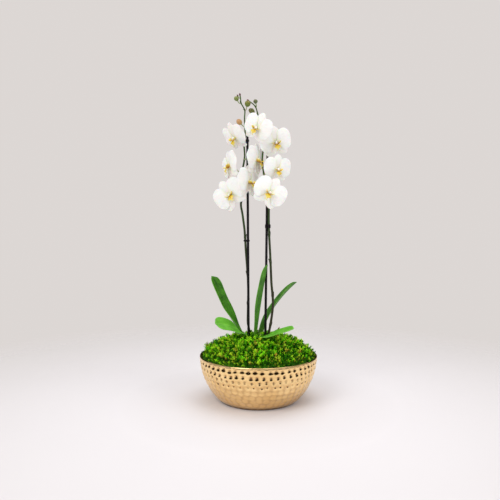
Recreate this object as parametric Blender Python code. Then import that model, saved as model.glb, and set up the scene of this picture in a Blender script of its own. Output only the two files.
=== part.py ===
"""Potted moth orchid: two plants whose flower spikes are clipped to stakes, set
in a hammered metal bowl under a cushion of moss. Metres, +Z up, with the origin
at the centre of the bowl's underside. -Y is the front."""

import math

import bmesh
import bpy
from mathutils import Matrix, Vector

MM = 0.001
CLEARANCE = 0.3 * MM            # between two pieces that touch
WELD = 0.1 * MM                 # points of a union nearer than this become one

# Bowl
BOWL_RADIUS = 150 * MM
BOWL_HEIGHT = 112 * MM
BOWL_FOOT_RADIUS = 100 * MM
BOWL_WALL = 2.5 * MM
BOWL_BEAD_RADIUS = 3.5 * MM
BOWL_SIDES = 48

# Bark medium and the moss over it, as heights from the bowl's rim
MOSS_CROWN_RISE = 37 * MM       # top of the cushion
MOSS_EDGE_DROP = 2 * MM
MOSS_CENTRE_DEPTH = 26 * MM     # thickness of the moss
MOSS_EDGE_DEPTH = 12 * MM
MOSS_ROUNDING = 3               # power of the dome's curve

# Flowers: the span is across both petals
FLOWER_SPAN = 91 * MM
PETAL_BREADTH = 52 * MM
SEPAL_LENGTH = 43 * MM
SEPAL_BREADTH = 29 * MM
SPRAY_UNIT = FLOWER_SPAN / 0.95  # the spray's places are given in this
PETAL_THICKNESS = 1.2 * MM
PETAL_TO_SEPAL = 0.6 * MM       # gap between the two layers
COLUMN_RADIUS = 3 * MM
COLUMN_LENGTH = 9 * MM
PEDICEL_RADIUS = 1.4 * MM
PEDICEL_KNEE = 5 * MM           # from the spike to its first bend
PEDICEL_TIP_RADIUS = 0.4 * MM    # inside the sepals
PEDICEL_END = (8 * MM, -2 * MM)  # behind and above the flower's centre, where it turns in
CLAW = 4 * MM                   # half breadth of a petal or sepal at its root
HUB = 3 * MM                    # from the flower's centre to those roots
DISH = 0.10                     # how far the edges sweep back, as a share of the span
LIP_ROOT = 1.1 * MM             # half thickness of the lip where it leaves the column
# The lip's tongue as (forward, down, half breadth), and its side lobes as (aside,
# forward, up, half breadth), both from the root
LIP_TONGUE = ((1.1 * MM, 0, 3 * MM), (8 * MM, 3 * MM, 5 * MM),
              (13 * MM, 8 * MM, 6 * MM), (12 * MM, 14 * MM, 1.5 * MM))
LIP_LOBE = ((1.5 * MM, 5 * MM, -1 * MM, 1.5 * MM), (6 * MM, 8 * MM, 2 * MM, 4 * MM),
            (8 * MM, 11 * MM, 8 * MM, 2 * MM))
LIP_FLATNESS = 0.4

# Stakes: the left one keeps its face clear of the leaf behind it, and the right one
# stands as far away as the flowers between them need
STAKE_LENGTH = 600 * MM
STAKE_RADIUS = 2.8 * MM
STAKE_POINT = 8 * MM
STAKE_DEPTH = 75 * MM           # of its tip, under the moss's top
LEFT_STAKE = Vector((STAKE_RADIUS - 27.8 * MM, 0, 0))
RIGHT_STAKE = LEFT_STAKE + Vector((0.4725 * FLOWER_SPAN, 0, 0))
LEFT_STAKE_LEAN = -0.006        # sideways for each unit of height
RIGHT_STAKE_LEAN = 0.0125

# Plant crowns: where each stands, and their one size
LEFT_CROWN = Vector((-30 * MM, 22 * MM, 0))
RIGHT_CROWN = RIGHT_STAKE + Vector((-14 * MM, 10 * MM, 0))
CROWN_RADIUS = 8.5 * MM
CROWN_STANDS_PROUD = 12 * MM    # over the moss
CROWN_ROOT_DEPTH = 54 * MM      # under the moss's top
CROWN_SHOULDER = 0.5 * CROWN_RADIUS  # depth of the rounding at its top

# Spikes
SPIKE_FOOT_RADIUS = 2.7 * MM
SPIKE_TIP_RADIUS = 1.2 * MM
SPIKE_TAPER = 2.5               # power of its thinning, slow at first
SPIKE_ROOT_DEPTH = 14 * MM      # of its foot, under the moss's top
SPRAY_RISE = 378 * MM           # from the rim to the height of the lowest flowers

# Leaves
LEAF_THICKNESS = 2 * MM
LEAF_BASE_BREADTH = 0.25        # share of the full breadth

TIP_BUD = (7 * MM, 5 * MM)      # length and width of the bud at each spike's end

# Clips: where each sits, in rise from the rim or in spray units, and how tall
CLIP_WALL = 1.2 * MM
CLIP_CLEARANCE = 0.5 * MM
CLIP_LEFT_LOW = (291 * MM, 4 * MM)
CLIP_LEFT_HIGH = (1.78, 5 * MM)
CLIP_RIGHT = (328 * MM, 9 * MM)

# Dry twig: its foot, then (aside, rise, radius) along it
TWIG_FOOT = RIGHT_STAKE + Vector((20 * MM, 2 * MM, 0))
TWIG = ((0, 0, 0.6 * MM), (4 * MM, 9 * MM, 0.6 * MM), (9 * MM, 18 * MM, 0.8 * MM),
        (12 * MM, 24 * MM, 1.6 * MM), (14 * MM, 27 * MM, 1.8 * MM), (16 * MM, 30 * MM, 0.6 * MM))

ORCHID_WHITE = (0.93, 0.93, 0.92)
LEAF_GREEN = (0.09, 0.24, 0.05)

FLOWERS = {
    # stake side, centre in spray units from the spray's start, (yaw, nod, roll), size,
    # where its stalk leaves the spike (height in units, compass angle). Yaw turns the
    # flower to the viewer's right, nod downwards and roll clockwise.
    "flower_1": ("left", (0.24, -0.458, 2.01), (-30, 8, 30), 1.0, (1.93, 275)),
    "flower_2": ("right", (0.23, -0.167, 1.70), (12, 16, -14), 0.95, (1.58, 290)),
    "flower_3": ("left", (0.26, -0.125, 1.23), (60, 5, 0), 1.0, (1.27, 275)),
    "flower_4": ("left", (-0.367, -0.14, 1.83), (-50, 35, 0), 0.9, (1.74, 190)),
    "flower_5": ("left", (-0.50, -0.15, 1.07), (-62, 8, -15), 0.95, (0.95, 190)),
    "flower_6": ("left", (-0.484, -0.18, 0.31), (-15, 5, -38), 1.0, (0.15, 215)),
    "flower_7": ("left", (0.05, -0.23, 0.64), (56, 2, 0), 1.0, (0.58, 275)),
    "flower_8": ("right", (0.056, -0.48, 0.328), (5, 3, 33), 0.97, (0.20, 265)),
    "flower_9": ("right", (0.274, -0.29, 0.967), (22, 15, 0), 0.85, (0.86, 280)),
}

BUDS = {
    # stake side, centre in spray units, (length, width), where its stalk leaves, colour
    "bud_1": ("left", (-0.307, 0.0, 2.91), (13 * MM, 12 * MM), (2.79, 180), (0.19, 0.23, 0.06)),
    "bud_2": ("left", (-0.006, -0.08, 2.749), (15.5 * MM, 15 * MM), (2.60, 300), (0.18, 0.17, 0.02)),
    "bud_3": ("left", (-0.228, -0.05, 2.27), (11 * MM, 9 * MM), (2.17, 190), (0.50, 0.31, 0.12)),
    "bud_4": ("right", (-0.309, -0.07, 2.813), (11 * MM, 11 * MM), (2.69, 290), (0.10, 0.13, 0.06)),
    "bud_5": ("right", (-0.409, 0.0, 2.579), (14 * MM, 11 * MM), (2.50, 190), (0.12, 0.12, 0.02)),
    "bud_6": ("left", (-0.275, 0.0, 2.995), (6 * MM, 4 * MM), (2.93, 180), (0.12, 0.05, 0.06)),
}

LEAVES = {
    # crown, compass angle of its seat on the crown, (heading at the base, at the tip),
    # (rise at the base, at the tip), length, breadth, drop of its base under the
    # crown's shoulder, fold, (twist at the base, from half way). Angles are in degrees.
    "leaf_left_upright": ("left", 195, (192, 172), (55, 72), 177 * MM, 40 * MM, 1.75 * MM, 33, (0, -30)),
    "leaf_left_low": ("left", 258, (240, 218), (40, 4), 122 * MM, 44 * MM, 5.75 * MM, 12, (0, -42)),
    "leaf_centre_tall": ("right", 200, (-40, -40), (81, 76), 192 * MM, 38 * MM, 2.75 * MM, 34, (30, 30)),
    "leaf_right_upright": ("right", 75, (58, -6), (62, 40), 178 * MM, 33 * MM, 3.75 * MM, 34, (0, 0)),
    "leaf_right_low": ("right", 266, (282, 334), (13, 24), 132 * MM, 42 * MM, 4.75 * MM, 18, (0, 18)),
}


def rim_height():
    return BOWL_HEIGHT


def moss_radius():
    return BOWL_RADIUS - 2 * BOWL_BEAD_RADIUS - CLEARANCE


def moss_top(radius):
    """Height of the moss's upper surface at a distance from the bowl's axis."""
    share = min(radius / moss_radius(), 1)
    fall = (MOSS_CROWN_RISE + MOSS_EDGE_DROP) * share ** MOSS_ROUNDING
    return rim_height() + MOSS_CROWN_RISE - fall


def moss_bottom(radius):
    share = min(radius / moss_radius(), 1)
    depth = MOSS_CENTRE_DEPTH + (MOSS_EDGE_DEPTH - MOSS_CENTRE_DEPTH) * share
    return moss_top(radius) - depth


def crown_top():
    return moss_top(0) + CROWN_STANDS_PROUD


def stake_foot():
    return moss_top(0) - STAKE_DEPTH


def stake_at(side, height):
    """A point on a stake's axis at a height."""
    if side == "left":
        foot, lean = LEFT_STAKE, LEFT_STAKE_LEAN
    else:
        foot, lean = RIGHT_STAKE, RIGHT_STAKE_LEAN
    return Vector((foot.x + lean * (height - moss_top(0)), foot.y, height))


def spray_point(side, spans):
    """A point given in spray units from where a stake passes the spray's start."""
    start = stake_at(side, rim_height() + SPRAY_RISE)
    return start + Vector(spans) * SPRAY_UNIT


# Meshes --------------------------------------------------------------------------

def finished(name, mesh, colour, roughness=0.5, metallic=0.0):
    """A new object with its own Principled material."""
    material = bpy.data.materials.new(name)
    material.use_nodes = True
    shader = material.node_tree.nodes["Principled BSDF"]
    shader.inputs["Base Color"].default_value = (*colour, 1)
    shader.inputs["Roughness"].default_value = roughness
    shader.inputs["Metallic"].default_value = metallic
    mesh.materials.clear()
    mesh.materials.append(material)
    mesh.shade_smooth()
    mesh.set_sharp_from_angle(angle=math.radians(40))
    piece = bpy.data.objects.new(name, mesh)
    bpy.context.collection.objects.link(piece)
    return piece


def working_object(name, mesh):
    piece = bpy.data.objects.new(name, mesh)
    bpy.context.collection.objects.link(piece)
    return piece


def cutter(name, mesh):
    piece = working_object(name, mesh)
    piece.hide_render = True
    piece.display_type = 'WIRE'
    return piece


def mesh_from(shape, name):
    mesh = bpy.data.meshes.new(name)
    shape.to_mesh(mesh)
    shape.free()
    return mesh


def baked(piece):
    """An object's mesh with its modifiers applied. The object is removed."""
    view = bpy.context.evaluated_depsgraph_get()
    mesh = bpy.data.meshes.new_from_object(piece.evaluated_get(view))
    bpy.data.objects.remove(piece)
    return mesh


def joined(name, meshes):
    """One solid from meshes that overlap."""
    body = working_object(name, meshes[0])
    others = []
    for mesh in meshes[1:]:
        other = working_object(name + "_part", mesh)
        others.append(other)
        union = body.modifiers.new("Union", 'BOOLEAN')
        union.operation = 'UNION'
        union.object = other
    mesh = baked(body)
    for other in others:
        bpy.data.objects.remove(other)
    shape = bmesh.new()
    shape.from_mesh(mesh)
    bmesh.ops.triangulate(shape, faces=shape.faces)
    bmesh.ops.remove_doubles(shape, verts=shape.verts, dist=WELD)
    bmesh.ops.dissolve_degenerate(shape, edges=shape.edges, dist=WELD / 10)
    shape.to_mesh(mesh)
    shape.free()
    return mesh


def cut(body, tool):
    difference = body.modifiers.new("Cut", 'BOOLEAN')
    difference.operation = 'DIFFERENCE'
    difference.object = tool


def turned(name, profile):
    """A closed solid of revolution. The profile of (radius, height) points runs from
    the axis, along the underside, up the outside and back to the axis."""
    shape = bmesh.new()
    points = []
    for radius, height in profile:
        points.append(shape.verts.new((radius, 0, height)))
    edges = []
    for lower, upper in zip(points, points[1:]):
        edges.append(shape.edges.new((lower, upper)))
    bmesh.ops.spin(shape, geom=points + edges, axis=(0, 0, 1), cent=(0, 0, 0),
                   angle=2 * math.pi, steps=BOWL_SIDES, use_merge=True)
    bmesh.ops.remove_doubles(shape, verts=shape.verts, dist=CLEARANCE / 30)
    bmesh.ops.recalc_face_normals(shape, faces=shape.faces)
    return mesh_from(shape, name)


def tube(name, points, radii, sides=8, flatness=1, across=Vector((1, 0, 0))):
    """A closed tube with one radius for each point. Its section is round, or an
    ellipse whose long way starts along across."""
    shape = bmesh.new()
    rings = []
    side = across
    last = len(points) - 1
    for index, point in enumerate(points):
        along = (points[min(index + 1, last)] - points[max(index - 1, 0)]).normalized()
        side = (side - along * side.dot(along)).normalized()
        up = along.cross(side)
        ring = []
        for step in range(sides):
            turn = 2 * math.pi * (step + 0.5) / sides
            offset = side * math.cos(turn) + up * math.sin(turn) * flatness
            ring.append(shape.verts.new(point + offset * radii[index]))
        rings.append(ring)
    for lower, upper in zip(rings, rings[1:]):
        for step in range(sides):
            following = (step + 1) % sides
            shape.faces.new((lower[step], lower[following], upper[following], upper[step]))
    shape.faces.new(reversed(rings[0]))
    shape.faces.new(rings[-1])
    return mesh_from(shape, name)


def compass(degrees):
    """A level direction, counted from +X towards +Y."""
    turn = math.radians(degrees)
    return Vector((math.cos(turn), math.sin(turn), 0))


def at_height(path, height):
    """The point where a rising path passes a height."""
    for lower, upper in zip(path, path[1:]):
        if lower.z <= height <= upper.z:
            share = (height - lower.z) / max(upper.z - lower.z, 1e-6)
            return lower.lerp(upper, share)
    return path[-1]


# Bowl and filling ------------------------------------------------------------------

def bowl_outside(height):
    """Radius of the bowl's outer wall: a ball cut flat at the foot."""
    drop = BOWL_HEIGHT / math.sqrt(1 - (BOWL_FOOT_RADIUS / BOWL_RADIUS) ** 2)
    return BOWL_RADIUS * math.sqrt(1 - ((BOWL_HEIGHT - height) / drop) ** 2)


def bowl_inside(height):
    return bowl_outside(height) - BOWL_WALL


def make_bowl():
    bead_centre = Vector((BOWL_RADIUS - BOWL_BEAD_RADIUS, BOWL_HEIGHT - BOWL_BEAD_RADIUS))
    neck = BOWL_HEIGHT - 2 * BOWL_BEAD_RADIUS
    steps = 8
    profile = [(0, 0)]
    for step in range(steps + 1):
        height = neck * step / steps
        profile.append((bowl_outside(height), height))
    for degrees in range(-30, 200, 38):
        turn = math.radians(degrees)
        profile.append((bead_centre.x + BOWL_BEAD_RADIUS * math.cos(turn),
                        bead_centre.y + BOWL_BEAD_RADIUS * math.sin(turn)))
    for step in range(steps, -1, -1):
        height = BOWL_WALL + (neck - BOWL_WALL) * step / steps
        profile.append((bowl_inside(height), height))
    profile.append((0, BOWL_WALL))
    finished("bowl", turned("bowl", profile), (0.75, 0.50, 0.24), 0.25, 1.0)


def make_filling(cutters_for_both, cutters_for_moss):
    floor = BOWL_WALL + CLEARANCE
    reach = moss_radius()
    steps = 8
    profile = [(0, floor)]
    shoulder = moss_bottom(reach) - CLEARANCE
    for step in range(steps + 1):
        height = floor + (shoulder - floor) * step / steps
        profile.append((bowl_inside(height) - CLEARANCE * 2, height))
    for step in range(steps, -1, -1):
        radius = reach * step / steps
        profile.append((radius, moss_bottom(radius) - CLEARANCE))
    medium = finished("growing_medium", turned("growing_medium", profile), (0.12, 0.07, 0.04), 0.9)

    profile = []
    for step in range(steps + 1):
        radius = reach * step / steps
        profile.append((radius, moss_bottom(radius)))
    for step in range(steps, -1, -1):
        radius = reach * step / steps
        profile.append((radius, moss_top(radius)))
    moss = finished("moss", turned("moss", profile), (0.08, 0.30, 0.01), 0.95)
    for tool in cutters_for_both:
        cut(medium, tool)
        cut(moss, tool)
    for tool in cutters_for_moss:
        cut(moss, tool)


# Plants ------------------------------------------------------------------------------

def crown_shape(name, stand, spare):
    """The short upright stem of a plant, larger by spare all round."""
    foot = moss_top(0) - CROWN_ROOT_DEPTH - spare
    top = crown_top() + spare
    shoulder = top - CROWN_SHOULDER
    points = [stand + Vector((0, 0, height)) for height in (foot, shoulder, top)]
    radii = (CROWN_RADIUS + spare, CROWN_RADIUS + spare, CROWN_RADIUS * 0.6 + spare)
    return tube(name, points, radii, 12)


def stake_shape(name, side, spare):
    foot = stake_foot()
    radius = STAKE_RADIUS + spare
    heights = (foot - spare, foot + STAKE_POINT, foot + STAKE_LENGTH - STAKE_RADIUS,
               foot + STAKE_LENGTH)
    points = [stake_at(side, height) for height in heights]
    return tube(name, points, (radius * 0.4, radius, radius, radius * 0.6), 10)


def left_spike_path():
    """From beside the crown, up behind the stake, over to its left side, and through
    the spray in short bends, one at each flower stalk."""
    hold = SPIKE_FOOT_RADIUS + STAKE_RADIUS + CLEARANCE
    base = LEFT_CROWN + compass(-25) * (CROWN_RADIUS + SPIKE_FOOT_RADIUS + CLEARANCE)
    path = [base + Vector((0, 0, moss_top(0) - SPIKE_ROOT_DEPTH)), base + Vector((0, 0, moss_top(0)))]
    for beside, behind, rise in ((-2, 6, 80), (0, 6.5, 160), (-1, 6, 198), (-3.5, 5, 235),
                                 (-6, 2, 268), (-7, 0, 291), (-9, 0, 322), (-14, 0, 361)):
        height = rim_height() + rise * MM
        path.append(stake_at("left", height) + Vector((beside * MM, behind * MM, 0)))
    for out, rise in ((0.13, 0.04), (0.095, 0.36), (0.053, 0.57), (0.09, 0.76), (0.11, 0.93),
                      (0.07, 1.06), (0.03, 1.27), (0.02, 1.40), (0.035, 1.57), (0.045, 1.72),
                      (0.012, 1.84), (0.01, 2.0), (0.02, 2.17), (0.03, 2.4), (0.01, 2.60),
                      (0.07, 2.70), (0.13, 2.79), (0.13, 2.90), (0.145, 2.98)):
        aside = Vector((-hold, 0, 0))
        path.append(spray_point("left", (-out, 0, rise)) + aside)
    return path


def right_spike_path():
    """From behind the right stake, out to its right side, then across its front and
    over to the left, where the tip nods."""
    hold = SPIKE_FOOT_RADIUS + STAKE_RADIUS + CLEARANCE
    base = RIGHT_CROWN + compass(4) * (CROWN_RADIUS + SPIKE_FOOT_RADIUS + CLEARANCE)
    path = [base + Vector((0, 0, moss_top(0) - SPIKE_ROOT_DEPTH))]
    for beside, behind, rise in ((5.5, 7.5, 40), (11, 4, 62), (16, 2, 95), (19, 1, 124),
                                 (18, 0, 145), (14, 0, 180), (11.5, 0, 227), (9.5, 0, 262),
                                 (7, -2, 297), (5.5, -3.5, 327), (5, -4, 350)):
        height = rim_height() + rise * MM
        path.append(stake_at("right", height) + Vector((beside * MM, behind * MM, 0)))
    for aside, rise in ((0.05, 0.03), (0.02, 0.20), (-0.005, 0.41), (-0.04, 0.57), (-0.08, 0.84),
                        (-0.11, 1.05), (-0.13, 1.25), (-0.12, 1.41), (-0.09, 1.56), (-0.08, 1.73),
                        (-0.12, 1.94)):
        path.append(spray_point("right", (aside, 0, rise)) + Vector((0, -hold, 0)))
    for aside, rise in ((-0.18, 2.2), (-0.22, 2.40), (-0.25, 2.50), (-0.275, 2.61), (-0.30, 2.70),
                        (-0.37, 2.77), (-0.43, 2.81), (-0.475, 2.84)):
        path.append(spray_point("right", (aside, 0, rise)))
    return path


def spike_radius(path, height):
    share = (height - path[0].z) / (path[-1].z - path[0].z)
    thinning = min(max(share, 0), 1) ** SPIKE_TAPER
    return SPIKE_FOOT_RADIUS + (SPIKE_TIP_RADIUS - SPIKE_FOOT_RADIUS) * thinning


def spike_shape(name, path, spare):
    radii = [spike_radius(path, point.z) + spare for point in path]
    return tube(name, path, radii)


def leaf_half(breadth, share):
    """Half breadth along a leaf, from its folded base to its rounded tip."""
    swell = LEAF_BASE_BREADTH + (1 - LEAF_BASE_BREADTH) * math.sin(math.pi / 2 * min(share / 0.55, 1))
    tip = math.sqrt(max(1 - max((share - 0.6) / 0.405, 0) ** 2, 0))
    return breadth / 2 * swell * tip


def leaf_frame(headings, rises, twists, share):
    """Directions along a leaf, across it and out of its upper face."""
    heading = compass(headings[0] + (headings[1] - headings[0]) * share ** 0.6)
    rise = math.radians(rises[0] + (rises[1] - rises[0]) * share)
    twist = twists[0] + (twists[1] - twists[0]) * min(share * 2, 1)
    along = heading * math.cos(rise) + Vector((0, 0, math.sin(rise)))
    across = Vector((-heading.y, heading.x, 0))
    across = Matrix.Rotation(math.radians(twist), 3, along) @ across
    return along, across, along.cross(across)


def leaf_seat(breadth, out, across, face, fold):
    """How far from a crown's axis a leaf's keel starts, so that its folded sides clasp
    the crown without entering it."""
    half = breadth / 2 * LEAF_BASE_BREADTH
    wrap = half * (-out.dot(face) * math.sin(fold) + abs(out.dot(across)) * math.cos(fold))
    curve = CROWN_RADIUS - math.sqrt(CROWN_RADIUS ** 2 - (half * math.cos(fold)) ** 2)
    return CROWN_RADIUS + CLEARANCE + LEAF_THICKNESS / 2 + max(wrap - curve, 0)


def make_leaf(name, crown, seat, headings, rises, length, breadth, drop, fold, twists):
    """A folded strap that grows out of a crown and bends along its length."""
    stand = LEFT_CROWN if crown == "left" else RIGHT_CROWN
    fold = math.radians(fold)
    out = compass(seat)
    along, across, face = leaf_frame(headings, rises, twists, 0)
    point = stand + out * leaf_seat(breadth, out, across, face, fold)
    point.z = crown_top() - CROWN_SHOULDER - drop
    steps = 9
    half_steps = 2
    shape = bmesh.new()
    rows = []
    for step in range(steps + 1):
        share = step / steps
        along, across, face = leaf_frame(headings, rises, twists, share)
        half = leaf_half(breadth, share)
        row = []
        for index in range(-half_steps, half_steps + 1):
            reach = half * index / half_steps
            spot = point + across * reach * math.cos(fold) + face * abs(reach) * math.sin(fold)
            row.append(shape.verts.new(spot))
        rows.append(row)
        point = point + along * length / steps
    for lower, upper in zip(rows, rows[1:]):
        for index in range(2 * half_steps):
            shape.faces.new((lower[index], lower[index + 1], upper[index + 1], upper[index]))
    leaf = finished(name, mesh_from(shape, name), LEAF_GREEN, 0.4)
    solid = leaf.modifiers.new("Thickness", 'SOLIDIFY')
    solid.thickness = LEAF_THICKNESS
    solid.offset = 0


# Flowers -----------------------------------------------------------------------------

def round_outline(share):
    """A petal's half breadth, as a share: broad soon after the root, and round."""
    return math.sin(math.pi * (0.04 + 0.93 * share) ** 0.78) ** 0.6


def pointed_outline(share):
    return math.sin(math.pi * (0.05 + 0.92 * share) ** 0.9) ** 0.75


def blades(name, angles, length, breadth, outline, depth, lengthwise, crosswise):
    """Petals or sepals that share one hub, as one sheet. Angles run clockwise from up,
    as seen from the front, and the sheet's front stands depth behind the centre."""
    shape = bmesh.new()
    sweep = DISH / FLOWER_SPAN
    hub = []
    for angle in angles:
        turn = math.radians(angle)
        along = Vector((math.sin(turn), 0, math.cos(turn)))
        across = Vector((math.cos(turn), 0, -math.sin(turn)))
        previous = None
        for step in range(lengthwise + 1):
            share = step / lengthwise
            half = max(breadth / 2 * outline(share), CLAW)
            row = []
            for index in range(crosswise + 1):
                place = along * (HUB + (length - HUB) * share)
                place += across * half * (2 * index / crosswise - 1)
                place.y = depth + sweep * place.length_squared * 2
                row.append(shape.verts.new(place))
            if previous is None:
                hub.extend(row)
            else:
                for index in range(crosswise):
                    shape.faces.new((previous[index], previous[index + 1], row[index + 1], row[index]))
            previous = row
    shape.faces.new(reversed(hub))
    sheet = working_object(name, mesh_from(shape, name))
    solid = sheet.modifiers.new("Thickness", 'SOLIDIFY')
    solid.thickness = PETAL_THICKNESS
    solid.offset = -1
    return baked(sheet)


def petals_shape():
    """Both petals with the column that stands out between them."""
    pair = blades("petals", (90, 270), FLOWER_SPAN / 2, PETAL_BREADTH, round_outline, 0, 6, 4)
    points = [Vector((0, PETAL_THICKNESS / 2, 0)), Vector((0, -COLUMN_LENGTH * 0.5, 0.5 * MM)),
              Vector((0, -COLUMN_LENGTH, -COLUMN_RADIUS * 0.4))]
    radii = (COLUMN_RADIUS * 0.8, COLUMN_RADIUS, COLUMN_RADIUS * 0.6)
    return joined("petals", [pair, tube("column", points, radii)])


def sepals_shape():
    depth = PETAL_THICKNESS + PETAL_TO_SEPAL
    return blades("sepals", (0, 138, 222), SEPAL_LENGTH, SEPAL_BREADTH, pointed_outline, depth, 5, 2)


def lip_shape():
    """The tongue that hangs under the column, and the two lobes that rise beside it."""
    root = -COLUMN_RADIUS - CLEARANCE - LIP_ROOT
    tongue = [Vector((0, -forward, root - down)) for forward, down, half in LIP_TONGUE]
    halves = [half for forward, down, half in LIP_TONGUE]
    meshes = [tube("tongue", tongue, halves, 8, LIP_FLATNESS)]
    for side in (-1, 1):
        lobe = [Vector((side * aside, -forward, root + up)) for aside, forward, up, half in LIP_LOBE]
        halves = [half for aside, forward, up, half in LIP_LOBE]
        meshes.append(tube("lobe", lobe, halves, 8, LIP_FLATNESS, Vector((0, 1, 0))))
    return joined("lip", meshes)


def stalk_points(path, leaving, end):
    """A curved stalk that starts square to the spike, just off its side."""
    height, angle = leaving
    origin = at_height(path, height)
    out = compass(angle)
    start = origin + out * (spike_radius(path, origin.z) + CLEARANCE)
    knee = start + out * PEDICEL_KNEE
    rounding = knee.lerp(end, 0.5) + Vector((0, 0, 0.08 * (end - knee).length))
    return [start, knee, rounding, end]


def spray_height(side, spans):
    return spray_point(side, (0, 0, spans)).z


def make_flowers(paths):
    petals = petals_shape()
    sepals = sepals_shape()
    lip = lip_shape()
    for name, (side, centre, (yaw, nod, roll), size, (leaving, angle)) in FLOWERS.items():
        turn = (Matrix.Rotation(math.radians(yaw), 4, 'Z') @ Matrix.Rotation(math.radians(nod), 4, 'X')
                @ Matrix.Rotation(math.radians(roll), 4, 'Y'))
        place = Matrix.Translation(spray_point(side, centre)) @ turn @ Matrix.Scale(size, 4)
        back = place @ Vector((0, PETAL_THICKNESS * 1.5 + PETAL_TO_SEPAL, 0))
        behind = place @ Vector((0, *PEDICEL_END))
        stalk = stalk_points(paths[side], (spray_height(side, leaving), angle), behind)
        stalk_mesh = tube("stalk", stalk + [back], [PEDICEL_RADIUS] * 4 + [PEDICEL_TIP_RADIUS], 6)
        placed_sepals = sepals.copy()
        placed_sepals.transform(place)
        finished(name + "_sepals", joined("sepals", [placed_sepals, stalk_mesh]), ORCHID_WHITE, 0.5)
        for label, mesh, colour in (("_petals", petals, ORCHID_WHITE), ("_lip", lip, (0.60, 0.40, 0.06))):
            placed = mesh.copy()
            placed.transform(place)
            finished(name + label, placed, colour, 0.45)


def bud_points(start, centre, length, width, stalk):
    """Points and radii of a stalk that swells into an egg-shaped bud."""
    points = list(stalk)
    radii = [PEDICEL_RADIUS * 0.8] * len(stalk)
    axis = (centre - start).normalized()
    steps = 6
    for step in range(steps + 1):
        share = -0.93 + 1.9 * step / steps
        points.append(centre + axis * length / 2 * share)
        radii.append(width / 2 * math.sqrt(1 - share ** 2))
    return points, radii


def make_buds(paths):
    for name, (side, spans, (length, width), (leaving, angle), colour) in BUDS.items():
        centre = spray_point(side, spans)
        path = paths[side]
        origin = at_height(path, spray_height(side, leaving))
        out = compass(angle)
        start = origin + out * (spike_radius(path, origin.z) + CLEARANCE)
        knee = start + out * PEDICEL_RADIUS * 1.5
        points, radii = bud_points(knee, centre, length, width, (start, knee))
        finished(name, tube(name, points, radii), colour, 0.5)
    for side in ("left", "right"):
        length, width = TIP_BUD
        tip = paths[side][-1]
        axis = (tip - paths[side][-2]).normalized()
        centre = tip + axis * (CLEARANCE + length / 2)
        points, radii = bud_points(tip, centre, length, width, ())
        name = "tip_bud_" + side
        finished(name, tube(name, points, radii), (0.12, 0.05, 0.06), 0.6)


# Clips and twig ------------------------------------------------------------------------

def make_clip(name, path, side, height, tall):
    """A flat ring pressed round a stake and the spike beside it."""
    stake = stake_at(side, height)
    spike = at_height(path, height)
    reach = spike - stake
    along = reach.normalized()
    across = Vector((-along.y, along.x, 0))
    inner = max(STAKE_RADIUS, spike_radius(path, height)) + CLIP_CLEARANCE
    shape = bmesh.new()
    loops = []
    for radius, level in ((inner, -0.5), (inner + CLIP_WALL, -0.5), (inner + CLIP_WALL, 0.5), (inner, 0.5)):
        loop = []
        for middle, first in ((spike, -90), (stake, 90)):
            for degrees in range(0, 181, 30):
                turn = math.radians(first + degrees)
                spot = middle + (along * math.cos(turn) + across * math.sin(turn)) * radius
                loop.append(shape.verts.new((spot.x, spot.y, height + level * tall)))
        loops.append(loop)
    for index, loop in enumerate(loops):
        following = loops[(index + 1) % len(loops)]
        for step in range(len(loop)):
            after = (step + 1) % len(loop)
            shape.faces.new((loop[step], loop[after], following[after], following[step]))
    bmesh.ops.recalc_face_normals(shape, faces=shape.faces)
    finished(name, mesh_from(shape, name), (0.02, 0.02, 0.02), 0.4)


def make_twig():
    """A dry stem of seed heads that stands in the moss."""
    foot = TWIG_FOOT.copy()
    foot.z = moss_top(foot.length) + CLEARANCE * 2
    points = [foot + Vector((aside, 0, rise)) for aside, rise, radius in TWIG]
    radii = [radius for aside, rise, radius in TWIG]
    finished("dry_twig", tube("dry_twig", points, radii, 6), (0.25, 0.13, 0.06), 0.9)


def build():
    for old in list(bpy.data.objects):
        bpy.data.objects.remove(old)
    paths = {"left": left_spike_path(), "right": right_spike_path()}
    crowns = {"left": LEFT_CROWN, "right": RIGHT_CROWN}
    cutters_for_both = []
    cutters_for_moss = []
    for side in ("left", "right"):
        cutters_for_both.append(cutter("crown_hole_" + side, crown_shape("hole", crowns[side], CLEARANCE)))
        cutters_for_both.append(cutter("stake_hole_" + side, stake_shape("hole", side, CLEARANCE)))
        cutters_for_moss.append(cutter("spike_hole_" + side, spike_shape("hole", paths[side][:5], CLEARANCE)))
    make_bowl()
    make_filling(cutters_for_both, cutters_for_moss)
    for side in ("left", "right"):
        finished("crown_" + side, crown_shape("crown", crowns[side], 0), (0.10, 0.20, 0.05), 0.6)
        finished("stake_" + side, stake_shape("stake", side, 0), (0.01, 0.01, 0.012), 0.35)
        finished("spike_" + side, spike_shape("spike", paths[side], 0), (0.06, 0.11, 0.03), 0.5)
    for name, choices in LEAVES.items():
        make_leaf(name, *choices)
    make_flowers(paths)
    make_buds(paths)
    rise, tall = CLIP_LEFT_LOW
    make_clip("clip_left_low", paths["left"], "left", rim_height() + rise, tall)
    spans, tall = CLIP_LEFT_HIGH
    make_clip("clip_left_high", paths["left"], "left", spray_height("left", spans), tall)
    rise, tall = CLIP_RIGHT
    make_clip("clip_right", paths["right"], "right", rim_height() + rise, tall)
    make_twig()


build()
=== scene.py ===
import bpy
import math
import random
import numpy as np
from mathutils import Matrix, Vector, noise


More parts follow.
